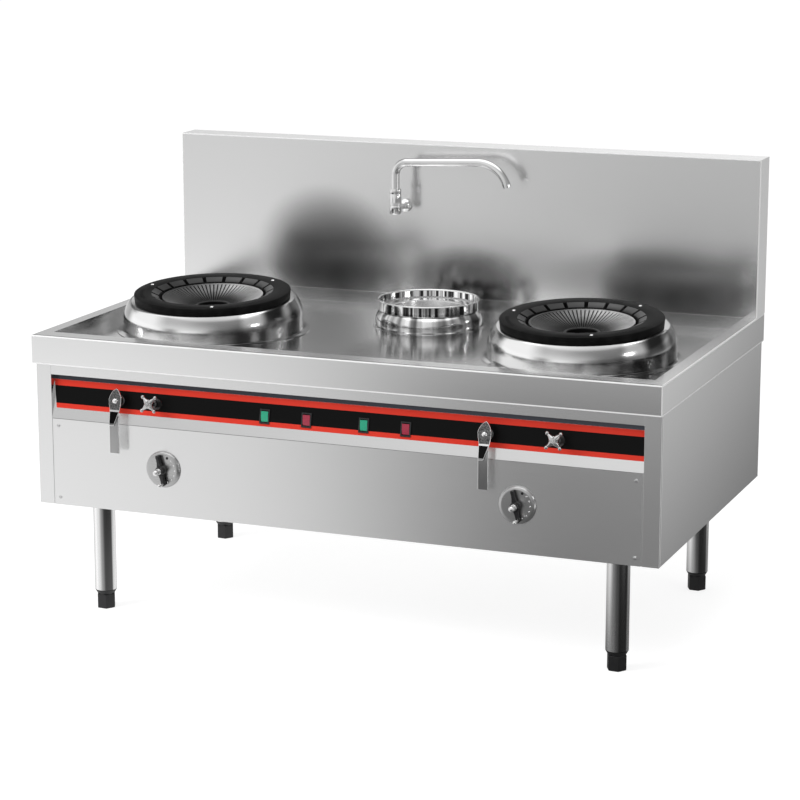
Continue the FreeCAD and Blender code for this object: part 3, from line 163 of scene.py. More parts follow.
class Finish:
    """A material, or the world, and the nodes that feed it."""

    def __init__(self, owner):
        owner.use_nodes = True
        self.owner = owner
        self.tree = owner.node_tree
        self.shader = self.tree.nodes.get("Principled BSDF")

    def node(self, kind, settings=None, sockets=None, output=0):
        """Add a node, set it, feed its sockets with values or links and give one of its outputs."""
        made = self.tree.nodes.new(kind)
        for name, value in (settings or {}).items():
            if name == "stops":
                self.mark(made.color_ramp, value)
            else:
                setattr(made, name, value)
        for name, value in (sockets or {}).items():
            self.feed(made.inputs[name], value)
        return Value(self, made.outputs[output])

    def mark(self, ramp, stops):
        """Set a ramp's stops of (place, level) from left to right; a new ramp holds two."""
        ramp.interpolation = "EASE"
        for index, (place, level) in enumerate(stops):
            stop = ramp.elements[index] if index < 2 else ramp.elements.new(place)
            stop.position = place
            stop.color = grey(level)

    def feed(self, socket, value):
        if isinstance(value, Value):
            self.tree.links.new(value.socket, socket)
        else:
            socket.default_value = value

    def set(self, **sockets):
        """Feed sockets of the shader, named with underscores for spaces."""
        for name, value in sockets.items():
            self.feed(self.shader.inputs[name.replace("_", " ").title().replace("Ior", "IOR")], value)
        return self

    def place(self, scale=(1, 1, 1)):
        """Object coordinates, scaled."""
        object_place = self.node("ShaderNodeTexCoord", output="Object")
        return self.node("ShaderNodeMapping", {}, {"Vector": object_place, "Scale": scale})

    def part(self, vector, letter):
        """One component of a vector."""
        return self.node("ShaderNodeSeparateXYZ", {}, {"Vector": vector}, output=letter)

    def axis(self, letter):
        """One object coordinate in metres."""
        return self.part(self.node("ShaderNodeTexCoord", output="Object"), letter)

    def facing(self, letter):
        """One component of the face's own direction."""
        return self.part(self.node("ShaderNodeNewGeometry", output="True Normal"), letter)

    def azimuth(self):
        """The way a smooth face looks round the upright axis, in degrees from +X."""
        direction = self.node("ShaderNodeNewGeometry", output="Normal")
        x, y = self.part(direction, "X"), self.part(direction, "Y")
        return self.node("ShaderNodeMath", {"operation": "ARCTAN2"}, {0: y, 1: x}) * (180 / math.pi)

    def bands(self, degrees, stops):
        """Greys that pass softly from stop to stop of (degrees, level)."""
        stops = [((angle + 180) / 360, level) for angle, level in stops]
        return self.node("ShaderNodeValToRGB", {"stops": stops}, {"Fac": (degrees + 180) / 360})

    def tone(self, level):
        """A grey colour of a worked-out level."""
        return self.node("ShaderNodeCombineColor", {}, {"Red": level, "Green": level, "Blue": level})

    def light_path(self, kind):
        return self.node("ShaderNodeLightPath", output=kind)

    def patch(self, across, along, middle, size):
        """1 in the middle of an oval of two coordinates, and softly 0 at its edge."""
        aside, away = (across - middle[0]) / size[0], (along - middle[1]) / size[1]
        return (aside * aside + away * away).soft(1.0, 0.0)

    def reach(self, x, y):
        """The distance in metres from an upright line."""
        across, along = self.axis("X") - x, self.axis("Y") - y
        return (across * across + along * along).power(0.5)

    def noise(self, scale, detail=2.0):
        """Soft noise; the scale is in waves per metre along each axis."""
        sockets = {"Vector": self.place(scale), "Scale": 1.0, "Detail": detail, "Roughness": 0.5}
        return self.node("ShaderNodeTexNoise", {}, sockets, output="Fac")

    def stripe(self, along):
        """Noise along one value."""
        return self.node("ShaderNodeTexNoise", {"noise_dimensions": "1D"}, {"W": along, "Scale": 1.0})

    def blend(self, factor, first, second):
        """A mix of two colours."""
        sockets = {"Factor": factor, 6: first, 7: second}
        return self.node("ShaderNodeMix", {"data_type": "RGBA"}, sockets, output=2)

    def bump(self, height, distance, strength):
        sockets = {"Height": height, "Distance": distance, "Strength": strength}
        return self.node("ShaderNodeBump", {}, sockets, output="Normal")


def grey(level):
    return (level, level, level, 1)


def floor():
    """A pale floor, white to the eye with a faint shadow; in reflections it darkens to the right."""
    bpy.ops.mesh.primitive_plane_add(size=90, location=(0, 0, 0))
    sheet = bpy.context.object
    sheet.name = "floor"
    paint = Finish(bpy.data.materials.new("studio_floor"))
    paint.set(base_color=grey(0.82), roughness=0.8)
    eye, mirror = paint.light_path("Is Camera Ray"), paint.light_path("Is Glossy Ray")
    x, y = paint.axis("X"), paint.axis("Y")
    # in reflections: before the front, farther off, a lit patch at the right, and beside the right side
    across = x - (y + 0.5) * 0.43
    near = 1.02 - across.ramp(-1.0, -0.35, 0, 0.13) - across.soft(-0.45, 0.75, 0, 0.72)
    far = across.ramp(-1.6, 1.6, 0.78, 0.52)
    front = near.toward(far, y.soft(-3.4, -4.8))
    bright = front.toward(1.5, x.soft(1.7, 2.0) * y.soft(-2.3, -2.1) * y.soft(-0.5, -0.7))
    beside = (y - (x - 0.9) * 3.85).ramp(-0.75, 0.75, 0.62, 0.34) * x.ramp(1.1, 1.9, 0.45, 1.0)
    level = bright.toward(beside, x.ramp(0.9, 1.1) * y.ramp(0.1, 0.5))
    white = paint.node("ShaderNodeEmission", {}, {"Color": (1, 1, 1, 1), "Strength": 0.80})
    lit = paint.node("ShaderNodeBsdfDiffuse", {}, {"Color": grey(0.42)})
    shown = paint.node("ShaderNodeAddShader", {}, {0: white, 1: lit})
    reflected = paint.node("ShaderNodeEmission", {}, {"Color": paint.tone(level), "Strength": 1.0})
    plain = Value(paint, paint.shader.outputs[0])
    seen = paint.node("ShaderNodeMixShader", {}, {"Fac": eye, 1: plain, 2: shown})
    final = paint.node("ShaderNodeMixShader", {}, {"Fac": mirror, 1: seen, 2: reflected})
    output = paint.tree.nodes["Material Output"]
    paint.tree.links.new(final.socket, output.inputs["Surface"])
    sheet.data.materials.append(paint.owner)


def world():
    """White to the eye; in reflections bright at the left and overhead, darker at the right and behind."""
    sky = bpy.data.worlds.new("studio")
    bpy.context.scene.world = sky
    paint = Finish(sky)
    direction = paint.node("ShaderNodeTexCoord", output="Generated")
    x, y, z = [paint.part(direction, letter) for letter in "XYZ"]
    screen = x.ramp(-0.74, -0.54) * x.ramp(-0.28, -0.47)
    low = 1.0 - screen * 0.66 - x.soft(-0.12, 0.5, 0, 0.72)
    ahead = x.ramp(-0.2, 0.8, 0.92, 0.40)
    behind = ahead.toward(0.15, y.soft(0.15, 0.35) * z.soft(0.24, 0.34))
    high = behind.toward(1.7, z.soft(0.72, 0.86))
    level = low.toward(high, z.soft(0.13, 0.25))
    base = paint.blend(paint.light_path("Is Glossy Ray"), grey(0.55), paint.tone(level))
    colour = paint.blend(paint.light_path("Is Camera Ray"), base, (1, 1, 1, 1))
    paint.feed(paint.tree.nodes["Background"].inputs["Color"], colour)


def studio():
    camera()
    floor()
    world()
    lamp((-3.2, -3.4, 3.4), (0, 0, 0.7), 2.2, 1.6, 130)
    lamp((0.3, -1.2, 4.2), (0, 0, 0.8), 3.2, 1.6, 50)
    lamp((4.2, -1.05, 2.15), (0.65, -0.1, 0.85), 0.6, 0.35, 8, mirrored=True)
    bpy.context.scene.view_settings.view_transform = "Standard"


# ------------------------------------------------------------------ finishes

def material(name):
    return Finish(bpy.data.materials.new(name))


def brushed_steel(name, grain, tone=0.80, roughness=0.26, stretch=0.6):
    """Brushed stainless sheet: fine streaks, faint clouds, and reflections drawn out across the grain."""
    paint = material(name)
    sideways = "Y" if grain == "X" else grain
    aside = (paint.facing("X") * paint.facing("X")).above(0.5)
    scales = [[9.0 if axis == way else 900.0 for axis in "XYZ"] for way in (grain, sideways)]
    along, across = [paint.noise(scale, detail=3.0) for scale in scales]
    fine = along.toward(across, aside)
    cloud = paint.noise((1.6, 1.6, 2.4), detail=3.0)
    shade = (fine * 0.5 + cloud * 0.5).ramp(0.30, 0.70)
    paint.set(base_color=paint.blend(shade, grey(tone * 0.97), grey(tone * 1.02)), metallic=1.0)
    paint.set(roughness=roughness - 0.04 + fine * 0.04 + cloud * 0.04)
    paint.set(normal=paint.bump(fine, 0.00003, 0.35))
    if grain != "Z":
        upward = paint.node("ShaderNodeCombineXYZ", {}, {"Y": 0.3, "Z": 1.0})
        paint.set(anisotropic=stretch, tangent=upward)
    return paint.owner


def paint_fold_highlights(paint, steel, folds):
    """Steel whose folds carry painted highlights: plain pale lines."""
    paint.set(base_color=paint.blend(folds, steel, grey(0.80)), metallic=1.0 - folds)


def panel_steel(name):
    """The leaning panel's sheet: painted shade above the printed film, standing for the shade under the
    worktop's lip; bare below it.
    """
    paint = Finish(brushed_steel(name, "X"))
    painted_shade_strip = paint.axis("Z").above(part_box("control_label")[1].z)
    # painted shade: the strip above the film is coloured near black
    paint.set(base_color=paint.blend(painted_shade_strip, grey(0.82), (0.060, 0.063, 0.074, 1)))
    return paint.owner


def tray_steel(name):
    """The worktop's sheet: painted highlights on its folds, a painted dark line of shade inside its front
    rim, and painted shade beside the pot.
    """
    paint = Finish(brushed_steel(name, "X", 0.80, 0.17, 0.5))
    x, y, z = [paint.axis(letter) for letter in "XYZ"]
    edge = tray_low.y
    # painted shade: a dark line just inside the front rim
    line = y.above(edge + 5 * MM) * y.below(edge + 11 * MM) * z.above(TOP - 1 * MM)
    # painted shade on the tray beside the pot
    shade = paint.patch(x, y, (0.10, -0.16), (0.22, 0.30)) * z.below(TRAY_FLOOR + 3 * MM)
    # painted highlights: pale lines on the skirt's lower and upper folds and its corner
    skirt = (y.below(edge + 4 * MM) + x.above(tray_high.x - 4 * MM)).above(0.5)
    ends = (z.below(SKIRT_FOOT + 3.5 * MM) + z.above(TOP - 3.5 * MM)).above(0.5)
    corner = y.below(edge + 3 * MM) * x.above(tray_high.x - 3 * MM)
    white = (skirt * ends * z.above(SKIRT_FOOT - 1 * MM) + corner).above(0.5)
    steel = paint.blend(line * 0.9 + shade * 0.6, grey(0.82), grey(0.02))
    paint_fold_highlights(paint, steel, white)
    return paint.owner


def post_steel(name):
    """The cabinet's front sheets, with a painted dark line for the shade of the worktop's skirt."""
    paint = Finish(brushed_steel(name, "X"))
    # painted shade: near black just under the skirt
    shade = paint.axis("Z").above(SKIRT_FOOT - 4 * MM)
    paint.set(base_color=paint.blend(shade, grey(0.80), grey(0.01)))
    return paint.owner


def side_steel(name):
    """A side sheet: painted highlights along its front fold, and painted shade as dark lines under the
    worktop's skirt and beside the fold.
    """
    paint = Finish(brushed_steel(name, "Y"))
    y, z = paint.axis("Y"), paint.axis("Z")
    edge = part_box("side_panel_right")[0].y
    # painted highlights: pale lines on the front fold
    white = y.below(edge + 3 * MM) + y.above(edge + 9 * MM) * y.below(edge + 12 * MM)
    # painted shade: dark under the skirt and in a line beside the fold
    dark = (z.above(SKIRT_FOOT - 4 * MM) + y.above(edge + 3 * MM) * y.below(edge + 6 * MM)).above(0.5)
    steel = paint.blend(dark, grey(0.80), grey(0.02))
    paint_fold_highlights(paint, steel, white)
    return paint.owner


def splash_steel(name):
    """The splashback's sheet, with painted reflections: dark soft patches where the burners and the pot show
    in it.
    """
    paint = Finish(brushed_steel(name, "X", 0.80, 0.19, 0.5))
    x, z = paint.axis("X"), paint.axis("Z")
    # painted reflections of the left burner, the pot and the right burner as dark patches
    left = paint.patch(x, z, (-0.42, 0.93), (0.24, 0.20))
    middle = paint.patch(x, z, (0.03, 0.85), (0.22, 0.12))
    right = paint.patch(x, z, (0.62, 0.86), (0.42, 0.14))
    steel = paint.blend(left * 0.68 + middle * 0.74 + right * 0.5, grey(0.82), grey(0.04))
    low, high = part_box("splashback")
    # painted highlights on the top and end folds
    white = (z.above(high.z - 3 * MM) + x.above(high.x - 3 * MM) + x.below(low.x + 3 * MM)).above(0.5)
    paint_fold_highlights(paint, steel, white)
    return paint.owner


def collar_steel(name):
    """Spun stainless with painted reflections of a room: bright to the left, broken dark and bright bands to
    the right.
    """
    paint = Finish(polished_steel(name))
    turn, height = paint.azimuth(), paint.axis("Z")
    # painted reflections: grey bands set by the way the smooth surface faces, one set high and one low
    high = [(-180, 0.5), (-150, 0.30), (-136, 0.30), (-126, 0.95), (-108, 0.95), (-94, 0.50), (-64, 0.36)]
    high += [(-50, 0.40), (-43, 1.0), (-35, 1.0), (-27, 0.10), (-17, 0.08), (-10, 0.60), (-2, 0.10)]
    high += [(8, 0.20), (15, 0.90), (35, 0.40), (90, 0.20), (150, 0.25), (180, 0.5)]
    low = [(-180, 0.5), (-150, 0.45), (-136, 0.5), (-126, 0.95), (-72, 0.95), (-58, 0.30), (-48, 0.06)]
    low += [(-32, 0.08), (-24, 0.55), (-16, 0.70), (-8, 0.08), (4, 0.12), (12, 0.90), (35, 0.40), (90, 0.2)]
    low += [(150, 0.25), (180, 0.5)]
    rise = height.soft(TRAY_FLOOR + 27 * MM, TRAY_FLOOR + 65 * MM)
    tone = paint.blend(rise, paint.bands(turn, low), paint.bands(turn, high))
    level = paint.facing("Z").above(0.97)
    paint.set(base_color=paint.blend(level, tone, grey(0.75)))
    return paint.owner


def pot_steel(name):
    """Spun stainless whose band and shoulder carry painted reflections: upright dark and bright stripes."""
    paint = Finish(polished_steel(name, roughness=0.10))
    turn, height = paint.azimuth(), paint.axis("Z")
    # painted reflections: upright stripes round the band and shoulder
    wide = paint.stripe(turn * 0.05).ramp(0.40, 0.60, 0.12, 0.95)
    close = paint.stripe(turn * 0.12 + 3.0).ramp(0.44, 0.56, 0.03, 1.0)
    stripes = wide.toward(close, height.above(TRAY_FLOOR + 48 * MM))
    level = (paint.facing("Z").above(0.97) + height.above(TRAY_FLOOR + 74.2 * MM)).above(0.5)
    paint.set(base_color=paint.blend(level, paint.tone(stripes), grey(0.80)))
    return paint.owner


def leg_steel(name):
    """Round tube with painted reflections: bright on both sides of a dark core."""
    paint = Finish(brushed_steel(name, "Z"))
    # painted reflections: grey bands set by the way the tube's surface faces
    stops = [(-180, 0.4), (-140, 0.55), (-114, 0.95), (-96, 0.75), (-76, 0.30), (-62, 0.08), (-28, 0.10)]
    stops += [(-17, 0.75), (0, 0.80), (30, 0.35), (180, 0.4)]
    paint.set(base_color=paint.bands(paint.azimuth(), stops))
    return paint.owner


def polished_steel(name, tone=0.84, roughness=0.13):
    """Spun stainless: a soft mirror with faint turning marks and handling haze."""
    paint = material(name)
    cloud = paint.noise((7, 7, 7), detail=3.0)
    mark = paint.noise((30, 30, 900), detail=2.0)
    paint.set(base_color=paint.blend(cloud, grey(tone * 0.95), grey(tone)), metallic=1.0)
    paint.set(roughness=roughness + cloud * 0.05 + mark * 0.03)
    paint.set(normal=paint.bump(cloud, 0.0006, 0.10))
    return paint.owner


def bright_chrome(name, tone=0.78, roughness=0.07):
    """Plated fittings, with faint smears."""
    paint = material(name)
    smear = paint.noise((40, 40, 25), detail=3.0)
    paint.set(base_color=paint.blend(smear, grey(tone * 0.93), grey(tone)), metallic=1.0)
    paint.set(roughness=roughness + smear * 0.10)
    return paint.owner


def cast_iron(name, low, high):
    """Black cast iron with a grainy skin."""
    paint = material(name)
    grain = paint.noise((700, 700, 700), detail=3.0)
    patch = paint.noise((26, 26, 26), detail=4.0)
    paint.set(base_color=paint.blend(patch.ramp(0.35, 0.70), grey(low), grey(high)), specular_ior_level=0.05)
    paint.set(roughness=0.40 + patch * 0.14 + grain * 0.08)
    paint.set(normal=paint.bump(grain * 0.6 + patch * 0.4, 0.0004, 0.5))
    return paint.owner


def worn_and_lit_iron(name, x, inner, outer, dark, bright, metal):
    """Iron lighter outwards from a burner's middle, where the seat's teeth are rubbed to bare metal, with
    painted light that makes it lighter to the burner's right.
    """
    paint = material(name)
    grain = paint.noise((600, 600, 600), detail=3.0)
    patch = paint.noise((40, 40, 40), detail=4.0)
    # painted light: the iron grows lighter towards the burner's right
    aside = (paint.axis("X") - x).soft(-0.13, 0.06, 0.14, 1.10)
    worn = paint.reach(x, BURNER_Y).soft(inner, outer, dark, bright) * patch.ramp(0.2, 0.8, 0.75, 1.15)
    paint.set(base_color=paint.tone(worn * aside), metallic=metal, roughness=0.34 + patch * 0.12)
    paint.set(normal=paint.bump(grain * 0.5 + patch * 0.5, 0.0003, 0.4))
    return paint.owner


def plastic(name, colour, roughness, coat=0.0):
    paint = material(name)
    tint = paint.noise((60, 60, 60), detail=2.0)
    dark = [c * 0.86 for c in colour] + [1]
    paint.set(base_color=paint.blend(tint, dark, list(colour) + [1]), roughness=roughness + tint * 0.08)
    paint.set(coat_weight=coat, coat_roughness=0.08)
    paint.set(normal=paint.bump(paint.noise((900, 900, 900), detail=1.0), 0.00005, 0.3))
    return paint.owner


def printed_band(name):
    """Film on the leaning panel: a red stripe along each edge of a black field, the upper one wider."""
    paint = material(name)
    low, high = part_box("control_label")
    height = paint.axis("Z")
    slope = math.cos(PANEL_LEAN)
    edges = height.below(low.z + 13.5 * MM * slope) + height.above(high.z - 17 * MM * slope)
    fade = paint.noise((3, 3, 3), detail=2.0)
    red = paint.blend(fade, (0.62, 0.035, 0.02, 1), (0.74, 0.055, 0.035, 1))
    paint.set(base_color=paint.blend(edges, grey(0.004), red), roughness=0.30 + fade * 0.08)
    paint.set(specular_ior_level=0.08)
    return paint.owner


def painted(name, colour, roughness=0.5):
    paint = material(name)
    patch = paint.noise((12, 12, 12), detail=4.0)
    dark = [c * 0.8 for c in colour] + [1]
    paint.set(base_color=paint.blend(patch, dark, list(colour) + [1]), roughness=roughness + patch * 0.12)
    paint.set(normal=paint.bump(paint.noise((500, 500, 500), detail=2.0), 0.0001, 0.3))
    return paint.owner


# ------------------------------------------------------------------ ways of making a piece

def start():
    bpy.ops.object.select_all(action="DESELECT")


def only(piece):
    start()
    piece.select_set(True)
    bpy.context.view_layer.objects.active = piece
    return piece


def smooth(piece, angle=35):
    only(piece)
    bpy.ops.object.shade_smooth_by_angle(angle=math.radians(angle))
    return piece


def apply(piece, kind, **settings):
    """Add a modifier, set it and apply it."""
    only(piece)
    modifier = piece.modifiers.new(kind.lower(), kind)
    for name, value in settings.items():
        setattr(modifier, name, value)
    bpy.ops.object.modifier_apply(modifier=modifier.name)
    return piece


def eased(piece, width, segments=2, angle=30):
    """Round every edge that is sharper than an angle, and keep the flats flat."""
    settings = {"width": width, "segments": segments, "limit_method": "ANGLE", "use_clamp_overlap": True}
    smooth(apply(piece, "BEVEL", angle_limit=math.radians(angle), **settings))
    return apply(piece, "WEIGHTED_NORMAL", keep_sharp=True)


def seated(piece, place=(0, 0, 0), turn=(0, 0, 0)):
    """Move and turn a piece and keep that in its mesh."""
    only(piece)
    piece.location = place
    piece.rotation_euler = turn
    bpy.ops.object.transform_apply(location=True, rotation=True, scale=True)
    return piece


def on_burner(piece, x):
    return seated(piece, (x, BURNER_Y, RING_TOP), (RING_TILT, 0, 0))


def panel_point(x, up, out=0.0):
    """A point along the leaning panel, up its slope and out of its face."""
    y = FRONT + up * math.sin(PANEL_LEAN) - out * math.cos(PANEL_LEAN)
    return (x, y, PANEL_FOOT + up * math.cos(PANEL_LEAN) + out * math.sin(PANEL_LEAN))


def on_panel(piece, x, up, out=0.0):
    """Seat a piece made facing -Y on the leaning panel."""
    return seated(piece, panel_point(x, up, out), (-PANEL_LEAN, 0, 0))


def facing_front(piece):
    """Lay a piece made standing on Z so that its top faces -Y."""
    return seated(piece, (0, 0, 0), (math.pi / 2, 0, 0))


def merged(name, *pieces):
    only(pieces[0])
    for piece in pieces:
        piece.select_set(True)
    bpy.ops.object.join()
    whole = bpy.context.object
    whole.name = name
    return whole


def drawn(name, points, close=False):
    """Edges extruded from one vertex through points in millimetres."""
    start()
    bpy.ops.mesh.primitive_plane_add(size=MM)
    piece = bpy.context.object
    piece.name = name
    bpy.ops.object.mode_set(mode="EDIT")
    bpy.ops.mesh.merge(type="CENTER")
    here = (0, 0, 0)
    for index, point in enumerate(points):
        step = [(a - b) * MM for a, b in zip(point, here)]
        if index == 0:
            bpy.ops.transform.translate(value=step)
        else:
            bpy.ops.mesh.extrude_region_move(TRANSFORM_OT_translate={"value": step})
        here = point
    bpy.ops.mesh.select_all(action="SELECT")
    if close:
        bpy.ops.mesh.edge_face_add()
    return piece


def turned(name, profile, steps=ROUND_STEPS, angle=35):
    """A profile of (radius, height) in millimetres, spun round Z."""
    piece = drawn(name, [(radius, 0, height) for radius, height in profile])
    bpy.ops.mesh.spin(steps=steps, angle=math.tau, center=(0, 0, 0), axis=(0, 0, 1))
    bpy.ops.mesh.select_all(action="SELECT")
    bpy.ops.mesh.remove_doubles(threshold=0.01 * MM)
    bpy.ops.mesh.normals_make_consistent(inside=False)
    bpy.ops.object.mode_set(mode="OBJECT")
    return smooth(piece, angle)


def sector(name, profile, degrees, steps=2):
    """A closed profile of (radius, height) spun part of the way round Z, centred on +X."""
    piece = drawn(name, [(radius, 0, height) for radius, height in profile], close=True)
    bpy.ops.mesh.spin(steps=steps, angle=math.radians(degrees), center=(0, 0, 0), axis=(0, 0, 1))
    bpy.ops.mesh.select_all(action="SELECT")
    bpy.ops.mesh.remove_doubles(threshold=0.01 * MM)
    bpy.ops.mesh.select_all(action="DESELECT")
    bpy.ops.mesh.select_non_manifold()
    bpy.ops.mesh.fill_holes(sides=0)
    bpy.ops.mesh.select_all(action="SELECT")
    bpy.ops.mesh.normals_make_consistent(inside=False)
    bpy.ops.object.mode_set(mode="OBJECT")
    return seated(piece, turn=(0, 0, -math.radians(degrees) / 2))


def around(piece, count, turn=0.0):
    """Copies of a piece at equal angles round Z."""
    pivot = bpy.data.objects.new("pivot", None)
    bpy.context.scene.collection.objects.link(pivot)
    pivot.rotation_euler.z = math.tau / count
    apply(piece, "ARRAY", count=count, use_relative_offset=False, use_object_offset=True, offset_object=pivot)
    bpy.data.objects.remove(pivot)
    return seated(piece, turn=(0, 0, turn))


def cut_sheet(name, outline, thickness):
    """An outline of (across, up) in millimetres, cut from plate that grows towards -Y."""
    piece = drawn(name, [(across, 0, up) for across, up in outline], close=True)
    bpy.ops.mesh.extrude_region_move(TRANSFORM_OT_translate={"value": (0, -thickness * MM, 0)})
    bpy.ops.mesh.select_all(action="SELECT")
    bpy.ops.mesh.normals_make_consistent(inside=False)
    bpy.ops.object.mode_set(mode="OBJECT")
    return piece


def arc(centre, radius, start_angle, end_angle, count=8):
    """Points on a circle, from one angle to another in degrees."""
    angles = [start_angle + (end_angle - start_angle) * step / count for step in range(count + 1)]
    return [(centre[0] + radius * math.cos(math.radians(a)), centre[1] + radius * math.sin(math.radians(a)))
            for a in angles]


def folded(node, name, width=0.5):
    """A copy of a CAD sheet with its edges eased, which stands for the node."""
    source = frame["nodes"][node]
    piece = source.copy()
    piece.data = source.data.copy()
    piece.name = name
    piece.parent = None
    for key in list(piece.keys()):
        del piece[key]
    bpy.context.scene.collection.objects.link(piece)
    only(piece)
    bpy.ops.object.mode_set(mode="EDIT")
    bpy.ops.mesh.select_all(action="SELECT")
    bpy.ops.mesh.remove_doubles(threshold=0.01 * MM)
    bpy.ops.mesh.dissolve_limited(angle_limit=math.radians(1))
    bpy.ops.object.mode_set(mode="OBJECT")
    return eased(piece, width * MM)


def dress(piece, finish, nodes, body="range"):
    """Give a piece its finish and body, in place of its CAD nodes."""
    piece.data.materials.clear()
    piece.data.materials.append(finish)
    nodes = [nodes] if isinstance(nodes, str) else list(nodes)
    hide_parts(*nodes)
    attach(piece, body)


def coat(node, finish):
    """Give a CAD node that stays its finish."""
    for place in frame["nodes"][node].material_slots:
        place.material = finish


# ------------------------------------------------------------------ sheet metal

def sheets():
    """Worktop, splashback and cabinet: folded brushed sheets with eased edges."""
    along = brushed_steel("brushed_sheet", "X")
    aside = side_steel("brushed_side")
    posts = post_steel("post_sheet")
    for node in ("splash_rear_cover", "back_panel", "bottom_panel", "lower_panel"):
        dress(folded(node, node + "_sheet"), along, node)
    for node in ("front_posts", "top_rail"):
        dress(folded(node, node + "_sheet"), posts, node)
    dress(folded("worktop_tray", "worktop_sheet", 1.4), tray_steel("tray_steel"), "worktop_tray")
    dress(folded("splashback", "splash_sheet", 1.4), splash_steel("splash_steel"), "splashback")
    dress(folded("control_panel", "control_sheet"), panel_steel("panel_steel"), "control_panel")
    for side in ("left", "right"):
        node = "side_panel_" + side
        dress(folded(node, node + "_sheet"), aside, node)
    dress(folded("control_label", "printed_label", 0.1), printed_band("printed_band"), "control_label")


# ------------------------------------------------------------------ wok burners

def collar(x, finish, node):
    """The spun collar with its flat foot on the tray."""
    shoulder = arc((256 - 75, -73), 75, 0, 43, 12)
    profile = [(256, -150)] + shoulder + [(230, -20.4), (206, -20)]
    shell = turned("collar_shell", profile)
    apply(shell, "SOLIDIFY", thickness=2 * MM, offset=-1)
    on_burner(shell, x)
    only(shell)
    bpy.ops.object.mode_set(mode="EDIT")
    bpy.ops.mesh.select_all(action="SELECT")
    level = (0, 0, TRAY_FLOOR + 0.2 * MM)
    bpy.ops.mesh.bisect(plane_co=level, plane_no=(0, 0, 1), clear_inner=True, use_fill=True)
    bpy.ops.object.mode_set(mode="OBJECT")
    foot = turned("collar_foot", [(254, 0.1), (275, 0.1), (275, 1.2), (274.6, 1.5), (260, 1.6), (257, 3.4),
                                  (255, 6), (254, 6), (254, 0.1)])
    seated(foot, (x, FLANGE_Y, TRAY_FLOOR))
    dress(smooth(merged(node + "_spun", shell, foot)), finish, node)


def wok_ring(x, finish, worn, chrome, node, body):
    """The cast ring, its worn seat of eighteen teeth, three studs and rows of cast bars."""
    rim = turned("ring_rim", [(152, -20), (220.6, -20), (221.4, -19), (223, -3.5), (222.4, -1.2),
                              (220.6, 0), (175, 0), (173.6, -0.8), (173, -2.4), (172.6, -12.6),
                              (171.4, -13.6), (153.5, -14.2), (151.6, -15.2), (151, -17), (151.4, -19.4),
                              (152, -20)])
    bar = sector("cast_bar", [(196, -0.4), (196, 0.5), (206, 0.5), (206, -0.4)], 1.3, steps=1)
    bars = [eased(bar, 0.25 * MM)]
    for step in range(1, 10):
        bars.append(copied(bars[0], math.radians(3.1 * step)))
    row = merged("cast_row", *bars)
    around(row, 3, math.radians(76))
    dress(on_burner(smooth(merged(node + "_casting", rim, row)), x), finish, node, body)
    tooth = sector("seat_tooth", [(174, -14.6), (174, -0.5), (171.5, -0.7), (154.2, -9.4), (153, -11),
                                  (153, -14.6)], 16.4, steps=6)
    teeth = around(eased(tooth, 0.8 * MM), 18, math.radians(10))
    teeth.name = node + "_teeth"
    dress(on_burner(smooth(teeth), x), worn, node, body)
    stud = turned("stud", [(0, 2.2), (3.6, 2.0), (5.0, 0.9), (5.4, -0.5), (0, -0.5)], SMALL_STEPS)
    studs = around(seated(stud, (200 * MM, 0, 0)), 3, math.radians(55))
    studs.name = node + "_studs"
    dress(on_burner(smooth(studs), x), chrome, node, body)


def copied(piece, turn):
    """A copy with its own mesh, turned round Z."""
    twin = piece.copy()
    twin.data = piece.data.copy()
    bpy.context.scene.collection.objects.link(twin)
    return seated(twin, turn=(0, 0, turn))


def cone(x, finish, node, body):
    """The dished grate: 72 rounded ribs between an outer rim and a hub."""
    rim = turned("cone_rim", [(137, -33.8), (143.6, -33.8), (144, -33), (144, -13.4), (143.4, -12.6),
                              (142, -12.2), (138, -13), (137, -14.4), (137, -33.8)])
    hub = turned("cone_hub", [(42, -58), (50, -58), (51, -57), (51, -43), (49.5, -40.8), (44, -41.2),
                              (42, -43), (42, -58)], 72)
    top = [(49 + 89 * step / 7, -41.6 + 28 * (step / 7) ** 1.25) for step in range(8)]
    low = [(138, -32), (100, -46), (49, -56)]
    rib = eased(sector("rib", top + low, 3.6, steps=1), 0.9 * MM)
    around(rib, 72)
    dress(on_burner(smooth(merged(node + "_grate", rim, hub, rib)), x), finish, node, body)


def burners():
    spun = collar_steel("spun_steel")
    iron = cast_iron("black_iron", 0.004, 0.011)
    lining = cast_iron("furnace_iron", 0.020, 0.045)
    stud = bright_chrome("stud_chrome")
    for side in ("left", "right"):
        x = middle_x("wok_ring_" + side)
        seat = worn_and_lit_iron("seat_iron_" + side, x, 152 * MM, 166 * MM, 0.02, 0.07, 0.30)
        grate = worn_and_lit_iron("grate_iron_" + side, x, 62 * MM, 134 * MM, 0.02, 0.50, 0.75)
        collar(x, spun, "burner_collar_" + side)
        wok_ring(x, iron, seat, stud, "wok_ring_" + side, "wok_ring_" + side)
        cone(x, grate, "finned_cone_" + side, "finned_cone_" + side)
        coat("furnace_drum_" + side, lining)
        coat("burner_head_" + side, iron)


# ------------------------------------------------------------------ pot ring and well

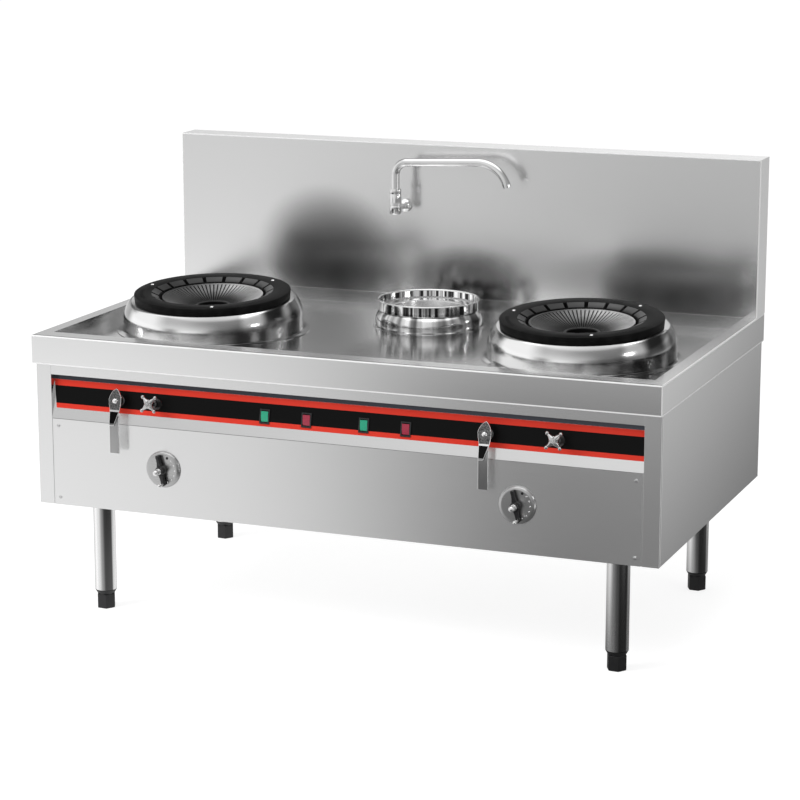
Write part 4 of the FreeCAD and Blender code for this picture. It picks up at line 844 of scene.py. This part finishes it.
def pot():
    """The spun shoulder, the band with its rolled lip, and the pan inside."""
    spun = pot_steel("spun_pot")
    shoulder = arc((154 - 44, 14), 44, -18, 46, 12)
    outer = [(160, 0), (160, 1.2), (156.5, 2.0)] + shoulder
    outer += [(143.4, 46.5), (143, 49), (143, 72), (144, 74.5)]
    lip = arc((145.2, 76.3), 1.9, -60, 150, 8)
    inner = [(141.6, 74), (141.2, 49), (139.6, 46), (152, 14), (152, 0.4), (160, 0)]
    ring = seated(turned("pot_ring_spun", outer + lip + inner), POT)
    dress(ring, spun, "pot_ring")
    ledge = 53
    pan = turned("pot_pan", [(0, -137), (99, -137), (103, -133), (103, ledge - 4), (104.2, ledge - 1.2),
                             (107, ledge), (136, ledge), (138.6, ledge + 1), (138.7, ledge + 5),
                             (140.6, ledge + 5), (140.6, ledge - 2), (105, ledge - 2), (105, -139),
                             (0, -139)])
    dress(seated(pan, POT), brushed_steel("pan_steel", "Z", 0.7), "pot_well")


# ------------------------------------------------------------------ faucet

def faucet():
    chrome = bright_chrome("faucet_chrome")
    column = turned("faucet_column", [(0, 0), (9, 0), (11, -3), (14, -3), (15.4, -1.5), (17.3, 1.5),
                                      (17.3, 20), (16.4, 21), (16.4, 23), (17.3, 24), (17.3, 54),
                                      (16.2, 56), (16.2, 58), (17.3, 60), (17.3, 69), (15.6, 72),
                                      (12.4, 72), (12.4, 52), (0, 52)], 64)
    seated(column, FAUCET)
    inlet = turned("faucet_inlet", [(9.5, -4), (12.5, -4), (12.5, -14), (9.5, -16), (9.5, -60), (14, -64),
                                    (19, -69), (21, -75), (21, -80), (9.5, -80), (9.5, -185.3),
                                    (10.5, -185.3), (10.5, -209.5), (9.8, -210.3), (0, -210.3)], 64)
    seated(inlet, (FAUCET[0], FAUCET[1], FAUCET[2] + 12 * MM), (math.pi / 2, 0, 0))
    dress(merged("faucet_fitting", column, inlet), chrome, "faucet_body")
    dress(spout(), chrome, "faucet_spout", "spout")


def spout():
    """One tube: up, round, along with a slight rise, and down at the end."""
    rise, droop = math.radians(2.5), math.radians(76)
    riser, first, run, last = 60 * MM, 38 * MM, 218 * MM, 90 * MM
    x, y, z = FAUCET[0], FAUCET[1], FAUCET[2] + 52.3 * MM
    start()
    bpy.ops.mesh.primitive_circle_add(vertices=48, radius=12 * MM, location=(x, y, z))
    tube = bpy.context.object
    tube.name = "swing_spout"
    bpy.ops.object.transform_apply(location=True)
    bpy.ops.object.mode_set(mode="EDIT")
    bpy.ops.mesh.select_all(action="SELECT")
    bpy.ops.mesh.extrude_region_move(TRANSFORM_OT_translate={"value": (0, 0, riser)})
    bend_z = z + riser
    bpy.ops.mesh.spin(steps=20, angle=math.pi / 2 - rise, center=(x + first, y, bend_z), axis=(0, -1, 0))
    along = (run * math.cos(rise), 0, run * math.sin(rise))
    bpy.ops.mesh.extrude_region_move(TRANSFORM_OT_translate={"value": along})
    end_x = x + first - first * math.sin(rise) + run * math.cos(rise)
    end_z = bend_z + first * math.cos(rise) + run * math.sin(rise)
    pivot = (end_x + last * math.sin(rise), y, end_z - last * math.cos(rise))
    bpy.ops.mesh.spin(steps=24, angle=droop + rise, center=pivot, axis=(0, -1, 0))
    bpy.ops.mesh.select_all(action="SELECT")
    bpy.ops.mesh.normals_make_consistent(inside=False)
    bpy.ops.object.mode_set(mode="OBJECT")
    apply(tube, "SOLIDIFY", thickness=1.5 * MM, offset=-1)
    return eased(tube, 0.4 * MM, angle=60)


# ------------------------------------------------------------------ levers, crosses and switches

def lever_chrome(name):
    """Pressed chrome with painted highlights on its edges and on a step below the head, a dark speckled head
    and a black tongue.
    """
    paint = material(name)
    flat = (paint.facing("Z") * math.sin(PANEL_LEAN) - paint.facing("Y") * math.cos(PANEL_LEAN)).above(0.9997)
    back, rise = paint.axis("Y") - FRONT, paint.axis("Z") - PANEL_FOOT
    down = LEVER_UP - (back * math.sin(PANEL_LEAN) + rise * math.cos(PANEL_LEAN))
    out = rise * math.sin(PANEL_LEAN) - back * math.cos(PANEL_LEAN)
    proud = flat * out.above(HEAD_OUT - 0.4 * MM)
    speck = paint.noise((420, 420, 420), detail=3.0)
    smear = paint.noise((40, 40, 12), detail=3.0)
    head = proud * down.below(25 * MM)
    tongue = proud * down.above(30 * MM) * down.below(63 * MM)
    dark_speckled = paint.blend(speck.ramp(0.40, 0.64), grey(0.05), grey(0.26))
    blade = paint.facing("Y").below(-0.9995)
    # painted highlights: every face other than the front flats and the blade's face is near white
    painted_edge_highlights = paint.blend((flat + blade).above(0.5), grey(0.95), paint.blend(smear, grey(0.30), grey(0.42)))
    # painted highlight: a bright step between head and tongue
    step = proud * down.above(25 * MM) * down.below(30 * MM)
    tone = paint.blend(head, paint.blend(step, painted_edge_highlights, grey(0.95)), dark_speckled)
    paint.set(base_color=paint.blend(tongue, tone, grey(0.010)), metallic=1.0)
    paint.set(roughness=0.16 + smear * 0.10 + head * 0.12)
    paint.set(normal=paint.bump(speck * head, 0.0003, 0.4))
    return paint.owner


def knee_lever(x, finish, node, body):
    """A leaf-shaped head that narrows to a tongue, over a thin blade bent to hang upright."""
    right = [(16, -25), (18.3, -10), (19, 4), (18.2, 9), (15.5, 17), (11.5, 25), (7, 31)]
    left = [(-1, 32), (-8, 27), (-13.5, 19), (-17.8, 10), (-19, 4), (-17.2, -10), (-14, -25)]
    outline = [(-13, -67), (-11, -69), (0, -69), (2, -67)] + right + [(3, 34)] + left
    head = seated(eased(cut_sheet("lever_head", outline, 4), 1.2 * MM, 3), (0, -29.3 * MM, 0))
    foot = 25.3 - (145 - 69) * math.tan(PANEL_LEAN)
    side = [(-25.3, -40), (-25.3, -69), (-foot, -145), (-foot - 4, -145), (-29.3, -69), (-29.3, -40)]
    blade = drawn("lever_blade", [(-14, out, up) for out, up in side], close=True)
    bpy.ops.mesh.extrude_region_move(TRANSFORM_OT_translate={"value": (28 * MM, 0, 0)})
    bpy.ops.mesh.select_all(action="SELECT")
    bpy.ops.mesh.normals_make_consistent(inside=False)
    bpy.ops.object.mode_set(mode="OBJECT")
    eased(blade, 1.1 * MM, 3)
    boss = turned("lever_boss", [(6, 19.3), (12, 19.3), (12, 29), (6, 29)], SMALL_STEPS)
    bolt = turned("lever_bolt", [(0, 33.2), (8, 33.2), (8, 34.2), (7.2, 35.2), (6.4, 36.6), (4.8, 38.3),
                                 (2.6, 39.1), (0, 39.2)], SMALL_STEPS)
    stem = turned("lever_stem", [(0, -20), (6, -20), (6, 20), (0, 20)], SMALL_STEPS)
    whole = merged(node + "_pressed", head, blade, *[facing_front(part) for part in (boss, bolt, stem)])
    dress(on_panel(smooth(whole), x, LEVER_UP), finish, node, body)


def cross_handle(x, finish, node, body):
    """Four short arms with ball ends that grow out of a webbed hub."""
    hub = turned("cross_hub", [(0, -14), (4, -14), (4, 42.3), (8.4, 42.3), (9, 43), (9, 46.3), (11, 47),
                               (12, 48.2), (12, 52.4), (11, 53.6), (9, 54.3), (8, 56), (6.5, 58.3),
                               (4, 58.3), (3.6, 61), (2.4, 61.2), (0, 61.3)], SMALL_STEPS)
    arm = turned("cross_arm", [(0, 0), (8.0, 0), (7.5, 10), (5.2, 15), (3.8, 19), (3.4, 21)]
                 + arc((0, 26), 5.2, -52, 90, 10), 24)
    seated(arm, (0, 0, 50.3 * MM), (0, math.pi / 2, 0))
    around(arm, 4, math.pi / 4)
    whole = facing_front(merged(node + "_plated", hub, arm))
    dress(on_panel(smooth(whole), x, CROSS_UP), finish, node, body)


def valve_necks(chrome):
    """The fixed necks and roses of the air and pilot valves, with their bodies behind."""
    necks = []
    for side in ("left", "right"):
        neck = turned("air_neck", [(0, -51.5), (22, -51.5), (22, -1.5), (11, -1.5), (11, 0.8), (15, 0.8),
                                   (15, 4), (11.4, 5.5), (11, 8), (11, 18), (10, 19), (6.3, 19), (6.3, -22),
                                   (0, -22)], SMALL_STEPS)
        necks.append(on_panel(facing_front(neck), middle_x("knee_lever_" + side), LEVER_UP))
    dress(smooth(merged("air_valve_necks", *necks)), chrome, "air_valves")
    coat("pilot_valves", chrome)


def switches():
    black = plastic("switch_black", (0.012, 0.012, 0.013), 0.35)
    green = plastic("lens_green", (0.004, 0.36, 0.20), 0.12, coat=0.6)
    red = plastic("lens_red", (0.36, 0.012, 0.045), 0.12, coat=0.6)
    dress(folded("switch_housings", "switch_bezels", 0.5), black, "switch_housings")
    for side in ("left", "right"):
        for colour, finish in (("green", green), ("red", red)):
            node = "rocker_%s_%s" % (colour, side)
            dress(folded(node, node + "_lens", 0.7), finish, node, node)


def controls():
    pressed = lever_chrome("lever_chrome")
    plated = bright_chrome("cross_chrome", 0.55, 0.12)
    dull = bright_chrome("neck_chrome", 0.12, 0.16)
    for side in ("left", "right"):
        node = "knee_lever_" + side
        knee_lever(middle_x(node), pressed, node, node)
        node = "cross_handle_" + side
        cross_handle(middle_x(node), plated, node, node)
    valve_necks(dull)
    switches()


# ------------------------------------------------------------------ dials

def dials():
    """Skirted index plates with a row of domed dots, a handle and a spindle on each."""
    plate_finish = polished_steel("dial_steel", 0.50, 0.24)
    bakelite = plastic("handle_black", (0.007, 0.007, 0.008), 0.26, coat=0.1)
    chrome = bright_chrome("spindle_chrome", 0.85, 0.05)
    for side in ("left", "right"):
        place = (middle_x("dial_plate_" + side), FRONT, DIAL_Z)
        node = "dial_plate_" + side
        disc = turned("dial_disc", [(8, 0), (50.6, 0), (51, 0.4), (51, 2), (50.4, 4), (48.6, 6.2), (46, 8),
                                    (43.4, 8.9), (41, 9), (8, 9), (8, 0)], 96)
        disc.name = node + "_spun"
        dress(seated(facing_front(disc), place), plate_finish, node)
        dots = [dot(1.2, 22 * step) for step in range(-3, 3)]
        face = facing_front(merged(node + "_dots", *dots))
        dress(seated(face, place), chrome, node)
        stop = facing_front(dot(1.7, 66))
        stop.name = node + "_stop"
        dress(seated(stop, place), bakelite, node)
        handle(place, bakelite, "dial_handle_" + side, "dial_" + side)
        spindle(place, chrome, "dial_spindle_" + side, "dial_" + side)


def dot(size, degrees):
    """A small dome on the index plate, at an angle from the right."""
    profile = [(0, 10.1), (1.2 * size, 10.0), (2.0 * size, 9.6), (2.4 * size, 8.8), (0, 8.8)]
    dome = turned("dial_dot", profile, 20)
    turn = math.radians(degrees)
    return seated(dome, (37 * MM * math.cos(turn), 37 * MM * math.sin(turn), 0))


def handle(place, finish, node, body):
    """A moulded cross bar that waves from upper left to lower right, with a round hub."""
    outline = [(-13, 40), (-11.5, 42), (-7, 42), (-4.6, 40), (-3, 32), (0.5, 22), (5.5, 10), (9, 0),
               (9.5, -12), (10, -24), (12.8, -34), (13, -40), (11, -42), (6, -42), (4, -40), (2, -30),
               (-1, -20), (-5.5, -10), (-9, 0), (-9, 10), (-9, 20), (-10.5, 30), (-12.6, 36)]
    bar = eased(cut_sheet("handle_bar", outline, 13), 2.2 * MM, 3)
    seated(bar, (0, -12.3 * MM, 0))
    hub = turned("handle_hub", [(7.05, 9.3), (12.4, 9.3), (13.4, 11), (13.4, 25), (12.4, 28), (10, 31.2),
                                (7.05, 31.2)], SMALL_STEPS)
    whole = merged(node + "_moulded", bar, facing_front(hub))
    dress(seated(smooth(whole), place), finish, node, body)


def spindle(place, finish, node, body):
    """The bright spindle with its ball end, and the pin in the bar's lower end."""
    shaft = turned("spindle_shaft", [(0, -30), (6, -30), (6, 4.3), (7, 4.4), (7, 30), (8.4, 30), (8.4, 33),
                                     (7, 34)] + arc((0, 48.3), 8.5, -55, 90, 12), SMALL_STEPS)
    pin = turned("pin_shaft", [(0, 23), (4, 23), (4, 38), (5.2, 39.4)] + arc((0, 45.3), 5.5, -65, 90, 10), 24)
    facing_front(pin)
    seated(pin, (8 * MM, 0, -36 * MM))
    dress(seated(merged(node + "_plated", facing_front(shaft), pin), place), finish, node, body)


# ------------------------------------------------------------------ legs, feet and screws

def legs():
    tube = leg_steel("leg_steel")
    rubber = plastic("foot_black", (0.010, 0.010, 0.011), 0.42)
    for corner in ("front_left", "front_right", "rear_left", "rear_right"):
        low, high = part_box("leg_" + corner)
        place = ((low.x + high.x) / 2, (low.y + high.y) / 2, 0)
        wall = turned("leg_tube", [(8.3, 54), (30, 54), (31, 55), (31, 365), (29, 365), (29, 68), (8.3, 68),
                                   (8.3, 54)], 64)
        bpy.ops.mesh.primitive_cube_add(size=1, location=(0, 0, 367.5 * MM), scale=(0.1, 0.1, 0.005))
        plate = eased(settled(bpy.context.object), 0.5 * MM)  # the square plate on the tube's top
        dress(seated(merged("leg_" + corner + "_tube", wall, plate), place), tube, "leg_" + corner)
        dress(foot(place), rubber, "foot_" + corner, "foot_" + corner)


def settled(piece):
    """Keep a new primitive's place and size in its mesh."""
    only(piece)
    bpy.ops.object.transform_apply(location=True, rotation=True, scale=True)
    return piece


def foot(place):
    """A hexagonal foot with a chamfered sole, a tapered collar and its stem."""
    start()
    bpy.ops.mesh.primitive_cylinder_add(vertices=6, radius=27.7 * MM, depth=42 * MM, location=(0, 0, 21 * MM),
                                        rotation=(0, 0, math.radians(26)))
    block = eased(settled(bpy.context.object), 2.2 * MM, 3)
    top = turned("foot_collar", [(0, 41), (23.5, 41), (24.5, 43), (30.4, 53), (30.8, 53.8), (8, 53.9),
                                 (8, 99), (7, 100), (0, 100)], 48)
    whole = merged("levelling_foot", block, top)
    return seated(smooth(whole), place)


def screws():
    """Four pan-head screws with a cross recess."""
    chrome = bright_chrome("screw_steel", 0.72, 0.2)
    x = (850 - 4 - 15) * MM  # half the front, less the seam and the screws' inset
    heads = []
    for side in (-1, 1):
        for height in (341 * MM, 545 * MM):
            head = turned("screw_head", [(0, -1.5), (2.5, -1.5), (2.5, 0), (5, 0), (5, 0.9), (4.2, 2.0),
                                         (2.6, 2.5), (0, 2.6)], 32)
            for turn in (0, math.pi / 2):
                bpy.ops.mesh.primitive_cube_add(size=1, location=(0, 0, 2.6 * MM), rotation=(0, 0, turn),
                                                scale=(5 * MM, 0.9 * MM, 2 * MM))
                cutter = bpy.context.object
                apply(head, "BOOLEAN", operation="DIFFERENCE", object=cutter, solver="EXACT")
                bpy.data.objects.remove(cutter)
            heads.append(seated(facing_front(head), (side * x, FRONT, height)))
    dress(smooth(merged("panel_screw_heads", *heads)), chrome, "panel_screws")


# ------------------------------------------------------------------ pieces inside the cabinet

def insides():
    primer = painted("grey_primer", (0.16, 0.165, 0.17))
    brass = bright_chrome("valve_brass", 0.5, 0.25)
    housing = painted("blower_paint", (0.05, 0.06, 0.07), 0.4)
    cast = bright_chrome("impeller_alloy", 0.62, 0.3)
    for node in ("subframe", "gas_manifold"):
        coat(node, primer)
    coat("gas_valves", brass)
    coat("tray_drain", brushed_steel("drain_steel", "Z", 0.7))
    for side in ("left", "right"):
        coat("blower_" + side, housing)
        coat("impeller_" + side, cast)


studio()
sheets()
burners()
pot()
faucet()
controls()
dials()
legs()
screws()
insides()
